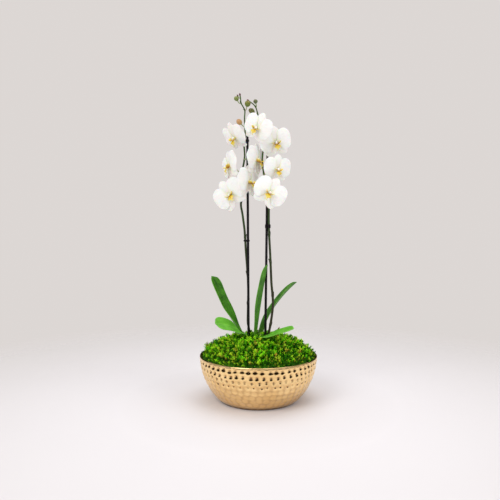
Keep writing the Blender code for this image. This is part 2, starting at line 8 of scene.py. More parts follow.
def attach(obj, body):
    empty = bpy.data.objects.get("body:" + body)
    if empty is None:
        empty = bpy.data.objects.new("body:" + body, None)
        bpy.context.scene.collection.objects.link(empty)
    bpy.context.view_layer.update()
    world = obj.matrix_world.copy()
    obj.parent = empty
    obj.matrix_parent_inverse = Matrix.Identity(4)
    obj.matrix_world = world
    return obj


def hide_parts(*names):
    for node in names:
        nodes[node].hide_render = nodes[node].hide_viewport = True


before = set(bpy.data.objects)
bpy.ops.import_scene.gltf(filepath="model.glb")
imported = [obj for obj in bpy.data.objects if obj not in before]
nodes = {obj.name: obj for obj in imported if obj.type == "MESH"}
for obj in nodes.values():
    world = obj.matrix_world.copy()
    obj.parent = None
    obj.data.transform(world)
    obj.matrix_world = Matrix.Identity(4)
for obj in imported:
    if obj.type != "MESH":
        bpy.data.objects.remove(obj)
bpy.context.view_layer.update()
mm = 0.001


def deselectAll():
    if bpy.context.mode != 'OBJECT':
        bpy.ops.object.mode_set(mode='OBJECT')
    bpy.ops.object.select_all(action='DESELECT')


def active(piece):
    deselectAll()
    piece.select_set(True)
    bpy.context.view_layer.objects.active = piece


def mergeAndFaceOut(piece, distance):
    active(piece)
    bpy.ops.object.mode_set(mode='EDIT')
    bpy.ops.mesh.select_all(action='SELECT')
    bpy.ops.mesh.remove_doubles(threshold=distance)
    bpy.ops.mesh.normals_make_consistent(inside=False)
    bpy.ops.object.mode_set(mode='OBJECT')


def applyAll(piece):
    active(piece)
    for modifier in list(piece.modifiers):
        bpy.ops.object.modifier_apply(modifier=modifier.name)


def thickened(piece, thickness, offset=0.0):  # gives a sheet its wall and rounds it off
    wall = piece.modifiers.new("Thickness", 'SOLIDIFY')
    wall.thickness = thickness
    wall.offset = offset
    wall.use_rim = True
    smooth = piece.modifiers.new("Smooth", 'SUBSURF')
    smooth.levels = 1
    smooth.render_levels = 1
    applyAll(piece)


def joinPieces(first, *others):
    deselectAll()
    for piece in (first, *others):
        piece.select_set(True)
    bpy.context.view_layer.objects.active = first
    bpy.ops.object.join()
    return first


def copied(piece, name, matrix):
    twin = piece.copy()
    twin.data = piece.data.copy()
    twin.name = name
    twin.data.name = name
    twin.data.transform(matrix)
    bpy.context.collection.objects.link(twin)
    return twin


def finishPiece(piece, paint, slot, *replaced, angle=None):
    piece.data.materials.clear()
    piece.data.materials.append(paint.material)
    active(piece)
    if angle is None:
        bpy.ops.object.shade_smooth()
    else:
        bpy.ops.object.shade_smooth_by_angle(angle=math.radians(angle))
    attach(piece, "root")
    if replaced:
        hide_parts(*replaced)
    return piece


def sheetFrom(name, across, along, place):  # a grid whose points go where place(u, v) says, u -1 to 1, v 0 to 1
    deselectAll()
    bpy.ops.mesh.primitive_grid_add(x_subdivisions=across, y_subdivisions=along, size=2, location=(0, 0, 0))
    piece = bpy.context.object
    piece.name = name
    for vertex in piece.data.vertices:
        vertex.co = place(vertex.co.x, (vertex.co.y + 1) / 2)
    return piece


def lathe(name, profile, steps):  # turns a profile of (radius, height) points about the upright axis
    deselectAll()
    bpy.ops.mesh.primitive_plane_add(size=0.001, location=(0, 0, 0))
    piece = bpy.context.object
    piece.name = name
    bpy.ops.object.mode_set(mode='EDIT')
    bpy.ops.mesh.select_all(action='SELECT')
    bpy.ops.mesh.merge(type='CENTER')
    bpy.ops.transform.translate(value=(profile[0][0], 0, profile[0][1]))
    for before, after in zip(profile, profile[1:]):
        bpy.ops.mesh.extrude_vertices_move(
            TRANSFORM_OT_translate={"value": (after[0] - before[0], 0, after[1] - before[1])})
    bpy.ops.mesh.select_all(action='SELECT')
    bpy.ops.mesh.spin(steps=steps, angle=2 * math.pi, center=(0, 0, 0), axis=(0, 0, 1), use_auto_merge=True)
    bpy.ops.object.mode_set(mode='OBJECT')
    mergeAndFaceOut(piece, 1e-5)
    return piece


def strand(name, points, radii, sides, smoothness):  # a smooth round stem through the points
    deselectAll()
    bpy.ops.curve.primitive_bezier_curve_add(location=(0, 0, 0))
    piece = bpy.context.object
    piece.name = name
    curve = piece.data
    curve.splines.clear()
    curve.dimensions = '3D'
    line = curve.splines.new('BEZIER')
    line.bezier_points.add(len(points) - 1)
    for knot, point, radius in zip(line.bezier_points, points, radii):
        knot.co = point
        knot.radius = radius
        knot.handle_left_type = 'AUTO'
        knot.handle_right_type = 'AUTO'
    curve.resolution_u = smoothness
    curve.bevel_depth = 1
    curve.bevel_resolution = max(sides // 2 - 2, 0)
    curve.use_fill_caps = True
    bpy.ops.object.convert(target='MESH')
    mergeAndFaceOut(piece, 1e-6)
    return piece


def ball(segments, rings):
    deselectAll()
    bpy.ops.mesh.primitive_uv_sphere_add(segments=segments, ring_count=rings, radius=1, location=(0, 0, 0))
    return bpy.context.object


def compass(degrees):
    turn = math.radians(degrees)
    return Vector((math.cos(turn), math.sin(turn), 0))


def eased(value):
    value = min(max(value, 0), 1)
    return value * value * (3 - 2 * value)


class Wire:  # an output socket; sums on it add Math nodes
    def __init__(self, paint, socket):
        self.paint = paint
        self.socket = socket

    def __add__(self, other):
        return self.paint.sums('ADD', self, other)

    def __radd__(self, other):
        return self.paint.sums('ADD', other, self)

    def __sub__(self, other):
        return self.paint.sums('SUBTRACT', self, other)

    def __rsub__(self, other):
        return self.paint.sums('SUBTRACT', other, self)

    def __mul__(self, other):
        return self.paint.sums('MULTIPLY', self, other)

    def __rmul__(self, other):
        return self.paint.sums('MULTIPLY', other, self)


class Paint:  # a Principled material; fixed values go straight on its sockets
    def __init__(self, name, fixed):
        self.material = bpy.data.materials.new(name)
        self.material.use_nodes = True
        self.tree = self.material.node_tree
        self.shader = self.tree.nodes["Principled BSDF"]
        for socket, value in fixed.items():
            self.shader.inputs[socket].default_value = value

    def feed(self, socket, value):
        if isinstance(value, Wire):
            self.tree.links.new(value.socket, socket)
        elif isinstance(value, (tuple, list)) and len(value) == 3 and socket.type == 'RGBA':
            socket.default_value = (*value, 1)
        else:
            socket.default_value = value

    def node(self, kind, settings=None, sockets=None, output=0):
        made = self.tree.nodes.new("ShaderNode" + kind)
        for key, value in (settings or {}).items():
            if key == "stops":
                ramp = made.color_ramp
                while len(ramp.elements) > 1:
                    ramp.elements.remove(ramp.elements[-1])
                ramp.elements[0].position = value[0][0]
                ramp.elements[0].color = (*value[0][1], 1)
                for position, colour in value[1:]:
                    ramp.elements.new(position).color = (*colour, 1)
            else:
                setattr(made, key, value)
        for key, value in (sockets or {}).items():
            self.feed(made.inputs[key], value)
        return Wire(self, made.outputs[output])

    def sums(self, operation, first, second):
        return self.node("Math", {"operation": operation}, {0: first, 1: second})

    def clamped(self, value, low, high):  # 0 at low, 1 at high
        return self.node("MapRange", {"clamp": True}, {"Value": value, "From Min": low, "From Max": high})

    def mixed(self, factor, first, second):
        return self.node("Mix", {"data_type": 'RGBA'}, {0: factor, 6: first, 7: second}, 2)

    def over(self, tone, colour, mask, low, high, share=1):  # lays the colour on where the mask goes from low to high
        cover = self.clamped(mask, low, high)
        return self.mixed(cover if share == 1 else cover * share, tone, colour)

    def place(self, which="Object", scale=None):
        spot = self.node("TexCoord", output=which)
        if scale:
            spot = self.node("Mapping", None, {"Vector": spot, "Scale": scale})
        return spot

    def cloud(self, spot, scale, detail=3.0, roughness=0.5):
        return self.node("TexNoise", None, {"Vector": spot, "Scale": scale, "Detail": detail,
                                            "Roughness": roughness})

    def part(self, spot, axis):
        return self.node("SeparateXYZ", None, {"Vector": spot}, axis)

    def acrossAlong(self):  # the two ways over a piece's own UV map
        return [self.part(self.place("UV"), axis) for axis in (0, 1)]

    def redGreen(self, attribute):  # the two values kept on each point
        kept = self.node("Attribute", {"attribute_name": attribute}, None, "Color")
        return [self.node("SeparateColor", None, {"Color": kept}, channel) for channel in ("Red", "Green")]

    def colour(self, value):
        self.feed(self.shader.inputs["Base Color"], value)

    def rough(self, value):
        self.feed(self.shader.inputs["Roughness"], value)

    def alpha(self, value):
        self.feed(self.shader.inputs["Alpha"], value)

    def bump(self, height, distance, strength=1.0):
        normal = self.node("Bump", None, {"Height": height, "Distance": distance, "Strength": strength})
        self.feed(self.shader.inputs["Normal"], normal)


cameraMake = {"place": (-0.0214, -1.198, 0.379), "lens": 33.48, "sensor": 36}
lightMake = {  # place, size and power of each lamp
    "keyLight": ((-1.3, -1.6, 1.9), 1.4, 26),
    "fillLight": ((1.8, -1.2, 1.2), 1.6, 14),
    "topLight": ((0.2, 0.3, 2.2), 1.8, 19),
}
roomMake = {"wall": (0.72, 0.68, 0.66), "zenith": (0.30, 0.30, 0.31), "wallTo": 0.50, "zenithFrom": 0.78,
            "aim": (0, 0, 0.35)}
floorMake = {"tone": (0.94, 0.91, 0.93), "cloudy": 0.97, "radius": 1.3, "level": -0.0002,
             "fullTo": 0.35, "goneFrom": 1.25}
surroundMake = {"radius": 3, "tall": 1.9, "middle": 1.02, "dark": (0.006, 0.004, 0.003),
                "faint": (0.03, 0.02, 0.015)}


def setStage():
    deselectAll()
    bpy.ops.object.camera_add(location=cameraMake["place"], rotation=(math.pi / 2, 0, 0))
    camera = bpy.context.object
    camera.data.lens = cameraMake["lens"]
    camera.data.sensor_width = cameraMake["sensor"]
    bpy.context.scene.camera = camera
    bpy.context.scene.view_settings.view_transform = 'Standard'

    world = bpy.data.worlds.new("softRoom")
    world.use_nodes = True
    tree = world.node_tree
    spot = tree.nodes.new("ShaderNodeTexCoord").outputs["Generated"]
    height = tree.nodes.new("ShaderNodeSeparateXYZ")
    ramp = tree.nodes.new("ShaderNodeValToRGB")
    ramp.color_ramp.elements[0].position = roomMake["wallTo"]
    ramp.color_ramp.elements[0].color = (*roomMake["wall"], 1)
    ramp.color_ramp.elements[1].position = roomMake["zenithFrom"]
    ramp.color_ramp.elements[1].color = (*roomMake["zenith"], 1)
    tree.links.new(spot, height.inputs[0])
    tree.links.new(height.outputs["Z"], ramp.inputs["Fac"])
    tree.links.new(ramp.outputs["Color"], tree.nodes["Background"].inputs["Color"])
    bpy.context.scene.world = world
    for name, (spot, size, power) in lightMake.items():
        bpy.ops.object.light_add(type='AREA', location=spot)
        light = bpy.context.object
        light.name = name
        light.data.size = size
        light.data.energy = power
        aim = Vector(roomMake["aim"]) - Vector(spot)
        light.rotation_euler = aim.to_track_quat('-Z', 'Y').to_euler()
        light.visible_glossy = name != "fillLight"  # keeps its square out of the gold

    bpy.ops.mesh.primitive_circle_add(vertices=96, radius=floorMake["radius"], fill_type='NGON',
                                      location=(0, 0, floorMake["level"]))
    floor = bpy.context.object
    floor.name = "floor"
    paint = Paint("paleFloor", {"Roughness": 0.6})
    spot = paint.place()
    paint.colour(paint.mixed(paint.cloud(spot, 3.0), floorMake["tone"],
                             tuple(floorMake["cloudy"] * c for c in floorMake["tone"])))
    away = paint.node("VectorMath", {"operation": 'LENGTH'}, {0: spot}, "Value")
    paint.alpha(paint.clamped(away, floorMake["goneFrom"], floorMake["fullTo"]))
    floor.data.materials.append(paint.material)

    # a dark surround that only mirrors see, as the unlit room in front of the bowl
    bpy.ops.mesh.primitive_cylinder_add(vertices=64, radius=surroundMake["radius"], depth=surroundMake["tall"],
                                        end_fill_type='NOTHING', location=(0, 0, surroundMake["middle"]))
    surround = bpy.context.object
    surround.name = "darkSurround"
    dark = Paint("darkRoom", {"Roughness": 1.0, "Specular IOR Level": 0.0})
    dark.colour(dark.mixed(dark.cloud(dark.place(), 1.2), surroundMake["dark"], surroundMake["faint"]))
    surround.data.materials.append(dark.material)
    for rays in ("camera", "diffuse", "shadow", "transmission"):
        setattr(surround, "visible_" + rays, False)


bowlMake = {"radius": 150 * mm, "height": 112 * mm, "foot": 100 * mm, "wall": 2.5 * mm, "bead": 2.0 * mm,
            "innerWall": 6.5 * mm, "columns": 560, "rows": 66, "rimWear": 0.35 * mm, "seed": 7}
dentMake = {"spacing": 16.2 * mm, "rowSpacing": 13.6 * mm, "firstRow": 6.5 * mm, "unevenness": 0.12,
            "depth": 2.0 * mm, "radius": 8.8 * mm, "blend": 0.09, "spread": 8,
            "calmTop": 30 * mm, "calmFoot": 30 * mm, "edge": 3 * mm,
            "scoops": (3.0 * mm, 3.3 * mm, 2.9 * mm, 2.0 * mm), "scoopWide": 5.2 * mm, "scoopTall": 4.4 * mm,
            "scoopSpread": 1.5e4}


def bowlOutside(height):
    drop = bowlMake["height"] / math.sqrt(1 - (bowlMake["foot"] / bowlMake["radius"]) ** 2)
    return bowlMake["radius"] * math.sqrt(1 - ((bowlMake["height"] - height) / drop) ** 2)


def bowlNormal(height):
    slope = (bowlOutside(height + 1e-4) - bowlOutside(height - 1e-4)) / 2e-4
    return Vector((1, 0, -slope)).normalized()


def bowlWall():  # heights up the outside, and how far along the wall each one lies
    neck = bowlMake["height"] - 2 * bowlMake["bead"]
    heights = [neck * k / 400 for k in range(401)]
    reach = [0.0]
    for low, high in zip(heights, heights[1:]):
        reach.append(reach[-1] + math.hypot(bowlOutside(high) - bowlOutside(low), high - low))
    return neck, heights, reach


def bowlProfile():
    make = bowlMake
    neck, heights, reach = bowlWall()
    profile = [(0, 0)] + [(make["foot"] * k / 4, 0) for k in (1, 2, 3)]
    for row in range(make["rows"] + 1):  # rows spaced evenly along the wall rather than in height
        height = float(np.interp(reach[-1] * row / make["rows"], reach, heights))
        profile.append((bowlOutside(height), height))
    centre = (make["radius"] - make["bead"], make["height"] - make["bead"])
    for degrees in range(-40, 211, 25):
        turn = math.radians(degrees)
        profile.append((centre[0] + make["bead"] * math.cos(turn), centre[1] + make["bead"] * math.sin(turn)))
    for k in range(8, -1, -1):
        height = make["wall"] + (neck - make["wall"]) * k / 8
        profile.append((bowlOutside(height) - make["innerWall"], height))
    profile += [((make["foot"] - make["innerWall"]) * k / 4, make["wall"]) for k in (3, 2, 1)] + [(0, make["wall"])]
    return profile


def dentRows():  # dents in offset rows down the outside, each a little out of place
    neck, heights, reach = bowlWall()
    rng = random.Random(bowlMake["seed"])
    rows = []
    for row in range(int(reach[-1] / dentMake["rowSpacing"]) + 2):
        down = dentMake["firstRow"] + row * dentMake["rowSpacing"]
        radius = bowlOutside(float(np.interp(reach[-1] - down, reach, heights)))
        count = round(2 * math.pi * radius / dentMake["spacing"])
        loose = dentMake["unevenness"] * dentMake["spacing"]
        spread = dentMake["spread"]
        rows.append([((k + 0.5 * (row % 2)) * 2 * math.pi / count + rng.uniform(-loose, loose) / radius,
                      down + rng.uniform(-loose, loose), rng.uniform(-spread, spread) * mm * mm)
                     for k in range(count)])
    return rows


def dentAt(rows, radius, turn, down, z):  # depth, and how much of scoop and of ridge shows there
    blend = dentMake["blend"] / (mm * mm)
    near = round((down - dentMake["firstRow"]) / dentMake["rowSpacing"])
    total, scoop = 0.0, 0.0
    for row in range(max(near - 1, 0), min(near + 2, len(rows))):
        dents = rows[row]
        guess = int(turn / (2 * math.pi / len(dents)) - 0.5 * (row % 2) + 0.5)
        for k in (guess - 1, guess, guess + 1):
            angle, level, weight = dents[k % len(dents)]
            away = ((turn - angle + math.pi) % (2 * math.pi) - math.pi) * radius
            total += math.exp(-blend * (away ** 2 + (down - level) ** 2 + weight))
            if row < len(dentMake["scoops"]):
                fit = (away / dentMake["scoopWide"]) ** 2 + ((down - level) / dentMake["scoopTall"]) ** 2
                scoop += dentMake["scoops"][row] * (1 + weight * dentMake["scoopSpread"]) * math.exp(-fit)
    square = -math.log(max(total, 1e-30)) / blend
    calm = 0.25 + 0.75 * eased((down - dentMake["calmTop"]) / dentMake["calmTop"])
    comb = dentMake["depth"] * calm * eased(z / dentMake["calmFoot"]) ** 0.5
    rim = max(1 - square / dentMake["radius"] ** 2, -0.1)
    fade = eased(down / dentMake["edge"]) * eased(z / dentMake["edge"])
    return (comb * (rim + 0.1) + scoop) * fade, scoop / dentMake["scoops"][0], 1 - min(max(rim, 0), 1)


def makeBowl():
    bowl = lathe("hammeredBowl", bowlProfile(), bowlMake["columns"])
    neck, heights, reach = bowlWall()
    rows = dentRows()
    hollows = []
    for vertex in bowl.data.vertices:
        x, y, z = vertex.co
        radius = math.hypot(x, y)
        hollows.append((0, 0, 0, 1))
        inside = abs(radius - bowlOutside(max(z, 0))) > 0.4 * mm
        if radius < bowlMake["foot"] * 0.9 or z > neck + 1e-5 or inside:
            continue
        down = reach[-1] - float(np.interp(z, heights[::8], reach[::8]))
        depth, scooped, ridge = dentAt(rows, radius, math.atan2(y, x) % (2 * math.pi), down, z)
        hollows[-1] = (scooped, ridge, 0, 1)
        normal = bowlNormal(min(max(z, 1e-4), neck))
        vertex.co -= Vector((x / radius * normal.x, y / radius * normal.x, normal.z)) * depth
    attribute = bowl.data.attributes.new("hollow", 'FLOAT_COLOR', 'POINT')
    attribute.data.foreach_set("color", np.array(hollows, dtype=np.float32).ravel())
    for vertex in bowl.data.vertices:  # a hand-finished rim
        x, y, z = vertex.co
        if z > neck:
            turn = math.atan2(y, x)
            worn = 1 + noise.noise(Vector((math.cos(turn) * 5, math.sin(turn) * 5, 0)))
            vertex.co.z -= bowlMake["rimWear"] * worn
    finishPiece(bowl, bowlMaterial(), "hammered_gold", "bowl")


def bowlMaterial():
    paint = Paint("hammeredGold", {"Metallic": 1.0})
    spot = paint.place()
    patches = paint.cloud(spot, 22.0, 4.0)
    grain = paint.cloud(spot, 700.0, 3.0, 0.65)
    height = paint.part(spot, 2)
    scooped, ridge = paint.redGreen("hollow")
    tone = paint.over((0.97, 0.70, 0.34), (0.86, 0.58, 0.25), patches, 0.35, 0.7)
    # Darker towards the foot over the lowest 30 mm; the dark line in the last millimetres at the base is a painted
    # contact shadow.
    tone = paint.over(tone, (0.55, 0.30, 0.12), height, 0.030, 0.0, 0.35)
    tone = paint.over(tone, (0.10, 0.045, 0.025), height, 0.008, 0.001)
    # The dark spots in the upper dents are painted reflections of the dark room, laid into the gold's colour.
    tone = paint.over(tone, (0.16, 0.07, 0.03), scooped, 0.35, 0.9, 0.55)
    # Brown borders round the lower dents are painted reflections of the shaded floor near the foot.
    lowRidgeShade = paint.clamped(ridge, 0.30, 1.0) * paint.clamped(height, 0.085, 0.06)
    paint.colour(paint.mixed(lowRidgeShade * 0.55, tone, (0.56, 0.32, 0.14)))
    paint.rough(0.04 + patches * 0.06 + grain * 0.03)
    paint.bump(grain, 0.02 * mm, 0.6)
    return paint


mossMake = {"crown": 37 * mm, "edgeDrop": 2 * mm, "power": 3, "radius": 142.7 * mm, "lift": 0.5 * mm,
            "depth": 14 * mm, "edge": 16 * mm, "sink": 4 * mm, "sinkFrom": 126 * mm, "sinkOver": 14 * mm}
shootMake = {"number": 4000, "tall": 13 * mm, "reach": 138.5 * mm, "lean": 0.6, "scatter": 0.75, "rooted": 2 * mm,
             "sizes": (0.65, 0.8, 0.95, 1.1, 1.45), "leaflets": 9, "leafletTilt": 52, "seed": 11}


def mossTop(radius):
    fall = mossMake["crown"] + mossMake["edgeDrop"]
    share = min(radius / mossMake["radius"], 1)
    return bowlMake["height"] + mossMake["crown"] - fall * share ** mossMake["power"]


def mossBump(x, y):  # pillowy clumps and small lumps
    big = noise.noise(Vector((x * 26, y * 26, 3)))
    small = noise.noise(Vector((x * 75, y * 75, 9)))
    return (2.6 * big + 1.5 * small) * mm


def mossSurface(x, y):
    radius = math.hypot(x, y)
    edge = eased((mossMake["radius"] - radius) / mossMake["edge"])
    sink = mossMake["sink"] * eased((radius - mossMake["sinkFrom"]) / mossMake["sinkOver"])
    return mossTop(radius) + (mossMake["lift"] + mossBump(x, y)) * edge - sink


def makeMossBed():
    reach = mossMake["radius"]
    profile = [(reach * k / 6, bowlMake["height"] - mossMake["depth"] + (6 - k) * 3 * mm) for k in range(7)]
    profile += [(reach * (1 - k / 40), mossTop(reach * (1 - k / 40))) for k in range(41)]
    bed = lathe("mossBed", profile, 200)
    for vertex in bed.data.vertices:
        x, y, z = vertex.co
        if z > mossTop(math.hypot(x, y)) - 0.5 * mm:
            vertex.co.z = mossSurface(x, y) + 0.8 * mm * noise.noise(Vector((x, y, 1)) * 300)
    paint = Paint("mossBed", {"Roughness": 1.0, "Specular IOR Level": 0.1})
    spot = paint.place()
    clumps = paint.cloud(spot, 60.0, 4.0)
    crumbs = paint.cloud(spot, 420.0, 3.0, 0.7)
    tone = paint.mixed(paint.clamped(clumps, 0.35, 0.7), (0.010, 0.055, 0.002), (0.045, 0.17, 0.006))
    tone = paint.over(tone, (0.13, 0.07, 0.02), crumbs, 0.62, 0.74)
    paint.colour(tone)
    paint.bump(crumbs, 1.0 * mm, 0.9)
    finishPiece(bed, paint, "moss", "moss")


def mossShoot():  # one feathery shoot of unit height, like a tiny fir twig
    parts = []
    deselectAll()
    bpy.ops.mesh.primitive_cone_add(vertices=3, radius1=0.05, radius2=0, depth=1, location=(0, 0, 0.5),
                                    end_fill_type='TRIFAN')
    parts.append(bpy.context.object)
    bpy.ops.object.transform_apply(location=True, rotation=True, scale=True)
    for k in range(shootMake["leaflets"]):
        level = 0.22 + 0.085 * k
        size = 0.34 * (1 - 0.05 * k)
        bpy.ops.mesh.primitive_cone_add(vertices=3, radius1=0.07, radius2=0, depth=size, location=(0, 0, 0),
                                        end_fill_type='NGON')
        leaflet = bpy.context.object
        tilt = Matrix.Rotation(k * 2.4, 4, 'Z') @ Matrix.Rotation(math.radians(shootMake["leafletTilt"]), 4, 'Y')
        leaflet.data.transform(Matrix.Translation((0, 0, level)) @ tilt @ Matrix.Translation((0, 0, size / 2)))
        parts.append(leaflet)
    shoot = joinPieces(*parts)
    mergeAndFaceOut(shoot, 1e-5)
    return shoot


def makeMossShoots(paint):
    shoot = mossShoot()
    template = np.array([v.co[:] for v in shoot.data.vertices])
    faces = [tuple(p.vertices) for p in shoot.data.polygons]
    bpy.data.objects.remove(shoot)
    rng = random.Random(shootMake["seed"])
    batches = ([], [])
    for k in range(shootMake["number"]):
        radius = shootMake["reach"] * math.sqrt(rng.random())
        turn = rng.uniform(0, 2 * math.pi)
        x, y = radius * math.cos(turn), radius * math.sin(turn)
        share = radius / mossMake["radius"]
        slope = (mossMake["crown"] + mossMake["edgeDrop"]) * mossMake["power"] * share ** 2 / mossMake["radius"]
        outward = slope * shootMake["lean"]
        lean = Vector((math.cos(turn) * outward, math.sin(turn) * outward, 1))
        lean += Vector((rng.gauss(0, shootMake["scatter"]), rng.gauss(0, shootMake["scatter"]), 0))
        clump = 0.5 + 0.5 * noise.noise(Vector((x * 45, y * 45, 20)))
        tall = shootMake["tall"] * rng.choice(shootMake["sizes"]) * (0.75 + 0.5 * clump)
        tall *= 0.7 + 0.3 * eased((shootMake["reach"] - radius) / (14 * mm))
        turned = lean.to_track_quat('Z', 'Y').to_matrix() @ Matrix.Rotation(rng.uniform(0, 6.28), 3, 'Z')
        bend = rng.uniform(-0.5, 0.5)
        width = rng.uniform(1.0, 1.5)
        root = Vector((x, y, mossSurface(x, y) - shootMake["rooted"]))
        batches[k % 2].append((root, turned, tall, width, bend, rng.random()))
    for index, batch in enumerate(batches):
        points, polygons, tones = [], [], []
        for spot, turned, tall, width, bend, tone in batch:
            local = template.copy()
            local[:, 0] = local[:, 0] * width + bend * local[:, 2] ** 2 * 0.5
            local[:, 1] *= width
            start = len(points) * len(template)
            points.append(local @ np.array(turned).T * tall + np.array(spot))
            polygons.extend(tuple(i + start for i in face) for face in faces)
            tones.append(np.column_stack([np.full(len(template), tone), template[:, 2],
                                          np.zeros(len(template)), np.ones(len(template))]))
        mesh = bpy.data.meshes.new("mossShoots")
        mesh.from_pydata(np.vstack(points).tolist(), [], polygons)
        attribute = mesh.attributes.new("tone", 'FLOAT_COLOR', 'POINT')
        attribute.data.foreach_set("color", np.vstack(tones).astype(np.float32).ravel())
        piece = bpy.data.objects.new("mossShoots_" + "ab"[index], mesh)
        bpy.context.collection.objects.link(piece)
        finishPiece(piece, paint, "moss", "moss")


def mossMaterial():
    paint = Paint("mossShoots", {"Roughness": 0.9, "Specular IOR Level": 0.08})
    parted, tall = paint.redGreen("tone")  # a chance number for each shoot, and the height on it
    clumps = paint.cloud(paint.place(), 34.0, 3.0)
    fresh = paint.node("ValToRGB", {"stops": ((0.0, (0.008, 0.09, 0.001)), (0.36, (0.03, 0.27, 0.001)),
                                              (0.44, (0.16, 0.95, 0.002)), (0.72, (0.42, 1.0, 0.006)),
                                              (0.945, (0.95, 1.0, 0.05)), (0.955, (0.75, 0.42, 0.05)),
                                              (0.985, (0.90, 0.75, 0.08)), (1.0, (0.35, 0.12, 0.03)))},
                       {"Fac": parted})
    deep = paint.over(fresh, (0.012, 0.14, 0.001), clumps, 0.46, 0.60, 0.55)
    # Shoots darken towards their bases: painted shade deep in the moss.
    tone = paint.mixed(paint.clamped(tall, 0.15, 0.75), (0.004, 0.022, 0.0005), deep)
    litTip = paint.clamped(tall, 0.7, 1.1) * paint.clamped(parted, 0.2, 0.7)
    paint.colour(paint.mixed(litTip * 0.8, tone, (0.55, 1.0, 0.05)))
    return paint


layout = {  # places and sizes that the pieces share; unit is one flower's width, the measure of the sprays
    "leftStake": (-25 * mm, 0, -0.006), "rightStake": (18 * mm, 0, 0.0125),
    "leftCrown": (-30 * mm, 22 * mm), "rightCrown": (4 * mm, 10 * mm),
    "crownRadius": 8.5 * mm, "crownProud": 12 * mm, "crownDepth": 60 * mm,
    "stakeLength": 600 * mm, "stakeDepth": 75 * mm, "stakeRadius": 2.8 * mm, "stakeSwell": 1.2,
    "spikeFoot": 2.7 * mm, "spikeTip": 1.2 * mm, "spikeTaper": 2.5, "spikeSwell": 1.15,
    "sprayRise": 378 * mm, "unit": 91 * mm / 0.95, "gap": 0.3 * mm,
}


def stakeAt(side, height):
    x, y, lean = layout["leftStake"] if side == "left" else layout["rightStake"]
    return Vector((x + lean * (height - mossTop(0)), y, height))


def sprayPoint(side, spans):
    return stakeAt(side, bowlMake["height"] + layout["sprayRise"]) + Vector(spans) * layout["unit"]


def spikePath(side):
    hold = layout["spikeFoot"] + layout["stakeRadius"] + layout["gap"]
    crown = layout[side + "Crown"]
    base = Vector((*crown, 0)) + compass(-25 if side == "left" else 4) * (
        layout["crownRadius"] + layout["spikeFoot"] + layout["gap"])
    path = [base + Vector((0, 0, mossTop(0) - 14 * mm))]
    if side == "left":
        path.append(base + Vector((0, 0, mossTop(0))))
        climb = ((-2, 6, 80), (0, 6.5, 160), (-1, 6, 198), (-3.5, 5, 235), (-6, 2, 268), (-7, 0, 291),
                 (-9, 0, 322), (-14, 0, 361))
        spray = ((-0.13, 0.04), (-0.095, 0.36), (-0.053, 0.57), (-0.09, 0.76), (-0.11, 0.93), (-0.07, 1.06),
                 (-0.03, 1.27), (-0.02, 1.40), (-0.035, 1.57), (-0.045, 1.72), (-0.012, 1.84), (-0.01, 2.0),
                 (-0.02, 2.17), (-0.03, 2.4), (-0.01, 2.60), (-0.07, 2.70), (-0.13, 2.79), (-0.13, 2.90),
                 (-0.145, 2.98))
        nod = ()
        aside = Vector((-hold, 0, 0))
    else:
        climb = ((5.5, 7.5, 40), (11, 4, 62), (16, 2, 95), (19, 1, 124), (18, 0, 145), (14, 0, 180),
                 (11.5, 0, 227), (9.5, 0, 262), (7, -2, 297), (5.5, -3.5, 327), (5, -4, 350))
        spray = ((0.05, 0.03), (0.02, 0.20), (-0.005, 0.41), (-0.04, 0.57), (-0.08, 0.84), (-0.11, 1.05),
                 (-0.13, 1.25), (-0.12, 1.41), (-0.09, 1.56), (-0.08, 1.73), (-0.12, 1.94))
        nod = ((-0.18, 2.2), (-0.22, 2.40), (-0.25, 2.50), (-0.275, 2.61), (-0.30, 2.70), (-0.37, 2.77),
               (-0.43, 2.81), (-0.475, 2.84))
        aside = Vector((0, -hold, 0))
    for beside, behind, rise in climb:
        path.append(stakeAt(side, bowlMake["height"] + rise * mm) + Vector((beside * mm, behind * mm, 0)))
    for out, rise in spray:
        path.append(sprayPoint(side, (out, 0, rise)) + aside)
    for out, rise in nod:
        path.append(sprayPoint(side, (out, 0, rise)))
    return path


def atHeight(path, height):
    for lower, upper in zip(path, path[1:]):
        if lower.z <= height <= upper.z:
            return lower.lerp(upper, (height - lower.z) / max(upper.z - lower.z, 1e-6))
    return path[-1]


def spikeRadius(path, height):
    share = min(max((height - path[0].z) / (path[-1].z - path[0].z), 0), 1)
    return layout["spikeFoot"] + (layout["spikeTip"] - layout["spikeFoot"]) * share ** layout["spikeTaper"]


stemMake = {"leftNodes": (52, 128, 205, 300), "rightNodes": (74, 150, 236, 306), "swelling": 0.22,
            "nodeHalf": 3 * mm, "bractLength": 10 * mm, "bractGirth": 0.26, "bractWrap": 105}
stakeMake = {"joints": (0.12, 0.3, 0.48, 0.66, 0.84), "point": 8 * mm}


def stakeMaterial():
    paint = Paint("coatedStake", {"Specular IOR Level": 0.25})
    spot = paint.place()
    ribs = paint.node("TexWave", {"bands_direction": 'Z', "wave_profile": 'SAW'},
                      {"Vector": spot, "Scale": 60.0, "Distortion": 1.5, "Detail": 1.0})
    mottle = paint.cloud(spot, 180.0, 4.0)
    paint.colour(paint.mixed(mottle, (0.003, 0.002, 0.004), (0.010, 0.007, 0.010)))
    paint.rough(0.42 + mottle * 0.25)
    paint.bump(ribs, 0.06 * mm, 0.5)
    return paint


